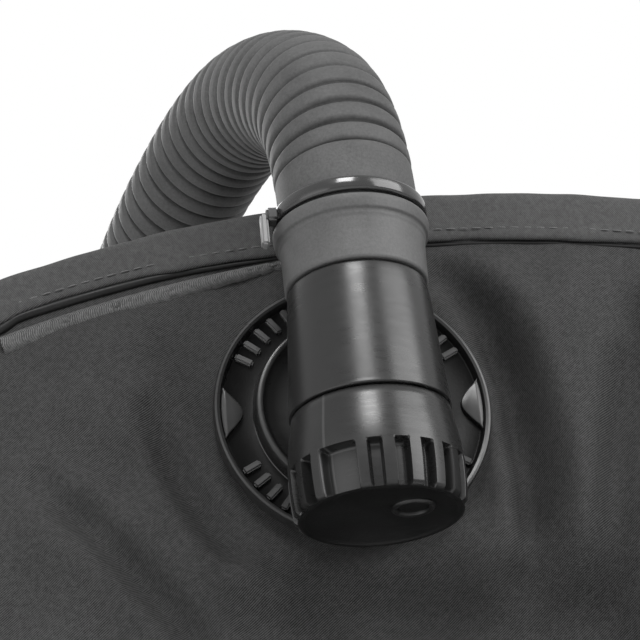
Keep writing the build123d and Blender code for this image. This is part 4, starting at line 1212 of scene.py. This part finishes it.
def back_pad():
    """The wearer's back padding, quilted in channels."""
    obj = fabric_copy("back_padding", "back_pad", 3.6 * MM, 3)
    inflate(obj, 3 * MM, pressure=4)
    modified(obj, "SUBSURF", levels=1)
    points = coordinates(obj)
    front = points[:, 1] < BACK_Y - 5 * MM
    from_middle = np.abs(points[:, 2] + 0.03)
    groove = np.exp(-((from_middle - 0.095) / QUILT_W) ** 2)
    for x in (-0.045, 0.0, 0.045):
        groove = np.maximum(groove, np.exp(-((points[:, 0] - x) / QUILT_W) ** 2))
    rim = np.minimum(0.095 - np.abs(points[:, 0]), 0.168 - from_middle)
    groove = groove * step(rim, 0.012, 0.02)
    groove = np.maximum(groove, np.exp(-((rim - 0.012) / 0.003) ** 2))
    points[:, 1] += np.where(front, QUILT_DEPTH * groove, 0)
    points[:, 1] = np.minimum(points[:, 1], BACK_Y - 0.3 * MM)
    set_coordinates(obj, points)
    dress(obj, PAD_FABRIC, VEST, ["back_pad"])


def shoulder_straps():
    """The padded straps over the shoulders."""
    obj = fabric_copy("left_strap", "left_shoulder_strap", 3.2 * MM, 3)
    inflate(obj, 0.9 * MM, pressure=4)
    modified(obj, "SUBSURF", levels=1)
    padded_pair(obj, "strap", "shoulder_strap", PAD_FABRIC)


POCKET_FACE = 0.058
POCKET_TOP, POCKET_BOTTOM, ZIP_Z = -0.150, -0.278, -0.162


def pockets():
    """The cargo pockets, full but drawn in along the zip."""
    obj = fabric_copy("left_cargo_pocket", "left_pocket", 4.5 * MM, 5)
    inflate(obj, 8 * MM, pressure=4, slack=0.02)
    points = coordinates(obj)
    z = points[:, 2]
    zip_zone = 1 - step(np.abs(z - ZIP_Z), 0.007, 0.022)
    limit_offset(points, LOBE_T + 0.3 * MM, POCKET_FACE - 0.2 * MM + 5 * MM * (1 - zip_zone))
    points[:, 2] = np.clip(z, POCKET_BOTTOM - 0.004, POCKET_TOP + 0.003)
    set_coordinates(obj, points)
    modified(obj, "SUBSURF", levels=1)
    padded_pair(obj, "cargo_pocket", "pocket", FABRIC)


BOX_FACES = ((0, 1, 3, 2), (4, 6, 7, 5), (0, 4, 5, 1), (2, 3, 7, 6), (1, 5, 7, 3), (0, 2, 6, 4))
# A zip tooth's corners in millimetres: along the tape, up and out.
TOOTH_CORNERS = [(u, w, n) for u in (-0.55, 0.55) for w in (-1.5, 1.5) for n in (0.3, 1.25)]


def zips():
    """Zip tape with two rows of teeth along each pocket's mouth."""
    for side, word in ((1, "left"), (-1, "right")):
        start, end = 0.066, FLAT_RUN + (TORSO_R + POCKET_FACE) * math.pi / 2 + 0.026
        points, normals = wrap_run(POCKET_FACE, start, end, ZIP_Z - 4 * MM, side)
        points[:, 2] = ZIP_Z
        tape = ribbon("tape", points, normals, 15 * MM, 0.7 * MM)
        verts, faces = [], []
        dense = respaced(points, 1.5 * MM)
        for k, point in enumerate(dense[1:-1]):
            ahead = dense[k + 2] - dense[k]
            ahead /= np.linalg.norm(ahead)
            out = np.cross(ahead, [0, 0, 1]) * side
            up = 0.9 * MM if k % 2 else -0.9 * MM
            base = len(verts)
            for u, w, n in TOOTH_CORNERS:
                verts.append(point + ahead * u * MM + np.array([0, 0, up + w * MM]) + out * n * MM)
            faces += [tuple(base + i for i in face) for face in BOX_FACES]
        teeth = new_object("teeth", verts, faces, smooth=False)
        dress(tape, WEBBING_X)
        tape.name = f"{word}_zip_tape"
        teeth.name = f"{word}_zip_teeth"
        dress(teeth, PLASTIC, VEST, ["zip_tracks"])


POUCH_TOP = -0.046
PULL_OFFSET, PULL_TOP, PULL_FRONT_X, PULL_REAR_Y = 0.0445, -0.0255, 0.142, -0.287


def pouch_pulls():
    """The webbing pull along the top of each weight pouch."""
    height = PULL_TOP - POUCH_TOP + 8 * MM
    reach = FLAT_RUN + (TORSO_R + PULL_OFFSET) * math.pi / 2 + SIDE_RUN
    for side, word in ((1, "left"), (-1, "right")):
        points, normals = wrap_run(PULL_OFFSET, 0.0, reach, PULL_TOP - height / 2, side)
        inside = (np.abs(points[:, 0]) > PULL_FRONT_X) & (points[:, 1] < PULL_REAR_Y)
        pull = ribbon(f"{word}_pouch_pull_tab", points[inside], normals[inside], height, 3 * MM)
        dress(pull, WEBBING_X, f"{word}_weight_pouch")


def sleeves_and_pouches():
    """The sleeves on the lobes, and the weight pouches that slide up out of them."""
    obj = fabric_copy("weight_sleeve_pair", "weight_sleeves", 1.9 * MM, 3)
    dress(obj, FABRIC, VEST, ["weight_sleeves"])
    pouch = fabric_copy("left_pouch", "left_weight_pouch", 3.2 * MM, 6, top=POUCH_TOP)
    inflate(pouch, 4 * MM, pressure=4)
    points = coordinates(pouch)
    limit_offset(points, 0.0374, 0.0568)
    points[:, 2] = np.minimum(points[:, 2], POUCH_TOP + 2 * MM)
    set_coordinates(pouch, points)
    modified(pouch, "SUBSURF", levels=1)
    padded_pair(pouch, "pouch", "weight_pouch", FABRIC, rides_on_node=True)


def cummerbunds():
    """The broad elastic waistband halves inside the lobes, one over the other at the front."""
    bend = (TORSO_R - 5.6 * MM) * math.pi / 2
    for side, word, inner in ((1, "left", -8.2), (-1, "right", -5.6)):
        points, normals = wrap_run(inner * MM, 0.0, FLAT_RUN + bend + SIDE_RUN, -0.120, side)
        lead = np.array([[-side * x, FRONT_Y - inner * MM, -0.120] for x in np.arange(0.036, 0.002, -0.003)])
        points = np.vstack([lead, points])
        normals = np.vstack([np.tile([0.0, -1.0, 0.0], (len(lead), 1)), normals])
        band = ribbon(f"{word}_waistband", points, normals, 0.116, 2.2 * MM)
        dress(band, PAD_FABRIC, VEST, [f"{word}_cummerbund"])


# ---------------------------------------------------------------- webbing


def box_stitch(name, centre, across, along, out, half_w, half_l):
    """A sewn box with a cross, flat on a piece of webbing."""
    centre, across, along = (np.asarray(v, float) for v in (centre, across, along))
    corners = [centre + across * a * half_w + along * b * half_l
               for a, b in ((-1, -1), (1, -1), (1, 1), (-1, 1))]
    outward = np.tile(out, (3, 1)).astype(float)
    parts = []
    for first, last in ((0, 1), (1, 2), (2, 3), (3, 0), (0, 2), (1, 3)):
        a, b = corners[first], corners[last]
        parts.append(stitch_run("run", np.array([a, (a + b) / 2, b]), outward, 2.0 * MM, 0.7 * MM, 0.24 * MM))
    return joined(parts, name)


CHEST_Z, WAIST_Z, STRAP_X = 0.140, -0.120, 0.092
WEB_T = 1.6 * MM
CHEST_WEB_Y = -0.3774


def flat_web(name, x, y, z, width, thick=WEB_T):
    """Straight webbing that faces the front; one of x, y and z is a list of places along it."""
    line = np.column_stack(np.broadcast_arrays(x, y, z))
    return ribbon(name, line, np.tile([0.0, -1, 0], (len(line), 1)), width, thick)


SHOULDER_WEB_W, CHEST_WEB_W, WAIST_WEB_W = 0.038, 0.025, 0.050


def webbing():
    """The flat webbing of the shoulder, chest and waist buckles."""
    cross, upright, threads = [], [], []
    lobe_y = FRONT_Y - LOBE_T - 0.4 * MM
    lower_zs, tongue_zs = np.linspace(0.072, -0.070, 40), np.linspace(0.122, 0.088, 14)
    chest_xs = np.linspace(0.008, 0.118, 40)
    out, x, z = (0, -1, 0), (1, 0, 0), (0, 0, 1)
    for side in (1, -1):
        strap_x = side * STRAP_X
        points, normals = wrap_run(LOBE_T + 0.4 * MM, 0.008, 0.113, WAIST_Z, side)
        cross.append(ribbon("waist", points, normals, WAIST_WEB_W, WEB_T))
        upright.append(flat_web("lower", strap_x, lobe_y, lower_zs, SHOULDER_WEB_W))
        upright.append(flat_web("tongue", strap_x, CHEST_WEB_Y, tongue_zs, SHOULDER_WEB_W))
        cross.append(flat_web("chest", side * chest_xs, CHEST_WEB_Y, CHEST_Z, CHEST_WEB_W))
        threads.append(box_stitch("a", (strap_x, lobe_y - WEB_T, -0.050), x, z, out, 0.015, 0.014))
        threads.append(box_stitch("b", (strap_x, CHEST_WEB_Y - WEB_T, 0.112), x, z, out, 0.015, 0.008))
        chest_end = (side * 0.100, CHEST_WEB_Y - WEB_T, CHEST_Z)
        threads.append(box_stitch("c", chest_end, x, z, out, 0.014, 0.0095))
    dress(joined(cross, "cross_webbing"), WEBBING_X, VEST, ["strap_webbing"])
    dress(joined(upright, "shoulder_webbing"), WEBBING_Z)
    dress(joined(threads, "webbing_stitches"), THREAD)


TANK_R, SLOT_Y, SADDLE_R, SADDLE_ANGLE, CAM_ANGLE = 0.0921, -0.0643, 0.0977, 0.43, math.radians(148)


def band_of_tank():
    """The cam band: round the tank, in through the backpack's slots and behind the saddle."""
    to_slot = math.asin(SLOT_Y / TANK_R)
    one_way = np.linspace(CAM_ANGLE, math.radians(180) - to_slot, 90)
    other_way = np.linspace(to_slot, CAM_ANGLE, 90)
    behind = [(SADDLE_R * math.sin(a), -SADDLE_R * math.cos(a))
              for a in np.linspace(-SADDLE_ANGLE, SADDLE_ANGLE, 24)]
    round_tank = [[(TANK_R * math.cos(a), TANK_R * math.sin(a)) for a in angles]
                  for angles in (one_way, other_way)]
    plan = round_tank[0] + behind + round_tank[1]
    points = respaced([(x, y, 0) for x, y in plan], 2 * MM)
    normals = np.cross(unit_tangents(points), [0, 0, 1.0])
    band = ribbon("cam_band", points, normals, 0.050, 2.2 * MM)
    dress(band, WEBBING_X, VEST, ["tank_band"])


KEEPER_TAIL, KEEPER_BAR_R, KEEPER_T = 7 * MM, 2.5 * MM, 1.1 * MM


def keeper_loop(place, width, height=4.6 * MM):
    """Webbing folded round a bar and sewn down flat; local X along the bar, Z out of the fabric."""
    r = KEEPER_BAR_R + 0.15 * MM
    section = [(-KEEPER_TAIL, 0.1 * MM), (-KEEPER_TAIL * 0.6, 0.1 * MM)]
    for k in range(15):
        a = math.radians(-140 - 260 * k / 14)
        section.append((r * math.cos(a), height + r * math.sin(a)))
    section += [(KEEPER_TAIL * 0.6, 0.1 * MM), (KEEPER_TAIL, 0.1 * MM)]
    path = respaced([(0, y, z) for y, z in section], 0.8 * MM)
    normals = np.cross([1.0, 0, 0], unit_tangents(path))
    points = np.array([place @ Vector(p) for p in path])
    turned = np.array([place.to_3x3() @ Vector(n) for n in normals])
    return ribbon("keeper", points, turned, width, KEEPER_T)


def turned_to(across, along, out, x, y, z):
    """A place whose local axes are the three given directions."""
    return Matrix.Translation((x, y, z)) @ Matrix((across, along, out)).transposed().to_4x4()


def keepers():
    """Sewn loops that hold the rings and the carry handle."""
    half = math.sqrt(0.5)
    loops = []
    for side in (1, -1):
        on_strap = turned_to((1, 0, 0), (0, half, half), (0, -half, half), side * STRAP_X, -0.3325, 0.1965)
        loops.append(keeper_loop(on_strap, 0.022))
        under_lobe = turned_to((1, 0, 0), (0, -1, 0), (0, 0, -1), side * 0.1, -0.340, -0.288)
        loops.append(keeper_loop(under_lobe, 0.022))
        at_handle = turned_to((-1, 0, 0), (0, 0, 1), (0, 1, 0), side * 0.019, REAR_Y, 0.218)
        loops.append(keeper_loop(at_handle, 0.012, 7 * MM))
    dress(joined(loops, "webbing_keepers"), WEBBING_Z, VEST, ["ring_keepers", "handle_keepers"])


HOSE_LOOP_R, HOSE_LOOP_AT = 0.0181, 0.027


def hose_loop():
    """The webbing ring that ties the hose to the left shoulder strap."""
    upper, lower = Vector(HOSE_ROUTE[-3]), Vector(HOSE_ROUTE[-2])
    along = (lower - upper).normalized()
    centre = upper + along * HOSE_LOOP_AT
    side = along.cross(Vector((0, 0, 1))).normalized()
    up = side.cross(along)
    outward = [side * math.cos(a) + up * math.sin(a) for a in np.linspace(0, 2 * math.pi, 73)]
    points = np.array([centre + out * HOSE_LOOP_R for out in outward])
    loop = ribbon("loop", points, np.array(outward), 0.020, 1.6 * MM)
    patch = flat_web("patch", np.linspace(0.112, 0.132, 8), CHEST_WEB_Y, 0.108, 0.020, 1.7 * MM)
    dress(joined([loop, patch], "hose_loop"), WEBBING_Z, VEST, ["hose_keeper"])


def dump_cords():
    """The braided pull cords of the two dump valves."""
    for word, length in (("upper", 0.122), ("lower", 0.074)):
        x, z = DUMPS[word]
        y = REAR_Y + 7.6 * MM
        top, low = z - 13.6 * MM, z - length
        line = respaced([(x, y, top), (x, y, (top + low) / 2), (x, y, low)], 0.5 * MM)
        cord = tube(f"{word}_pull_cord", line, 1.1 * MM, 12, (1, 0, 0))
        body = f"{word}_dump_pull"
        dress(cord, CORD, body, [f"{word}_dump_cord"])


# ---------------------------------------------------------------- hard CAD pieces that stay

KEPT = (
    (PLASTIC, "backpack cam_base cam_lever shoulder_sockets left_shoulder_prong right_shoulder_prong"),
    (PLASTIC, "chest_socket chest_prong waist_socket waist_prong carry_handle"),
    (VALVE, "elbow_poppet inflator_body inflate_button dump_valve_bodies"),
    (VALVE, "upper_dump_poppet lower_dump_poppet upper_dump_knob lower_dump_knob"),
    (STEEL, "cam_pin elbow_spring lp_nipple pack_screws left_zip_slider right_zip_slider"),
    (STEEL, "left_shoulder_ring right_shoulder_ring left_lower_ring right_lower_ring"),
    (SEAL, "flange_gasket mouthpiece"),
    (BUTTON, "exhaust_button"),
)


def keep_hard_pieces():
    """Materials for the CAD nodes whose shape is already right."""
    for material, nodes in KEPT:
        for node in nodes.split():
            NODES[node].data.materials.clear()
            NODES[node].data.materials.append(material)
            smooth_by_angle(NODES[node], 30)


# ---------------------------------------------------------------- floor, light and camera


# Area lamps: name, place, what they face, size in metres and power in watts.
LAMPS = (
    ("key", (-0.66, 0.55, 0.66), (0.08, -0.10, 0.17), 0.8, 12.0),
    ("face", (0.28, 0.62, 0.80), (0.11, -0.10, 0.17), 0.3, 6.0),
    ("low", (0.95, 0.50, 0.10), (0.10, -0.10, 0.10), 0.8, 3.0),
    ("front", (0.6, -1.6, 0.9), (0, -0.25, 0), 1.0, 24.0),
)


def stage():
    """A pale floor, soft studio light and a white surround."""
    bpy.ops.mesh.primitive_plane_add(size=8, location=(0, -0.15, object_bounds()[0][2] - 0.0005))
    floor = bpy.context.object
    floor.name = "floor"
    s = Shade("floor_paper")
    s.finish(s.ramp(s.noise(3, 3), [(0.3, (0.8, 0.8, 0.8)), (0.7, (0.86, 0.86, 0.86))]), 0.9)
    floor.data.materials.append(s.material)
    floor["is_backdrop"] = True

    world = bpy.data.worlds.new("surround")
    world.use_nodes = True
    background = world.node_tree.nodes["Background"].inputs
    background["Color"].default_value = (1, 1, 1, 1)
    background["Strength"].default_value = 1.0
    bpy.context.scene.world = world

    for name, place, target, size, power in LAMPS:
        light = bpy.data.lights.new(name, "AREA")
        light.size = size
        light.energy = power
        lamp = linked(name, light)
        lamp.location = place
        lamp.rotation_euler = (Vector(target) - Vector(place)).to_track_quat("-Z", "Y").to_euler()


CAMERA_FROM_FLANGE = Vector((49.1, 406.6, -188.0)) * MM
CAMERA_LOOKS = Vector((-0.0904, -0.882, 0.4624))
CAMERA_LENS = 106.4


def camera():
    """The photograph's view: from behind and below, up at the elbow valve."""
    data = bpy.data.cameras.new("camera")
    data.lens = CAMERA_LENS
    data.clip_start = 0.01
    obj = linked("camera", data)
    obj.location = FLANGE_AT + CAMERA_FROM_FLANGE
    obj.rotation_euler = CAMERA_LOOKS.to_track_quat("-Z", "Y").to_euler()
    bpy.context.scene.camera = obj
    bpy.context.scene.view_settings.view_transform = "Standard"


elbow_barrel()
elbow_cap()
collar()
hose_ties()
flange()
corrugated_hose()
keep_hard_pieces()
rear_bladder()
panel_binding()
puckered_seam()
front_lobes()
back_pad()
shoulder_straps()
pockets()
zips()
sleeves_and_pouches()
pouch_pulls()
cummerbunds()
webbing()
band_of_tank()
keepers()
hose_loop()
dump_cords()
stage()
camera()
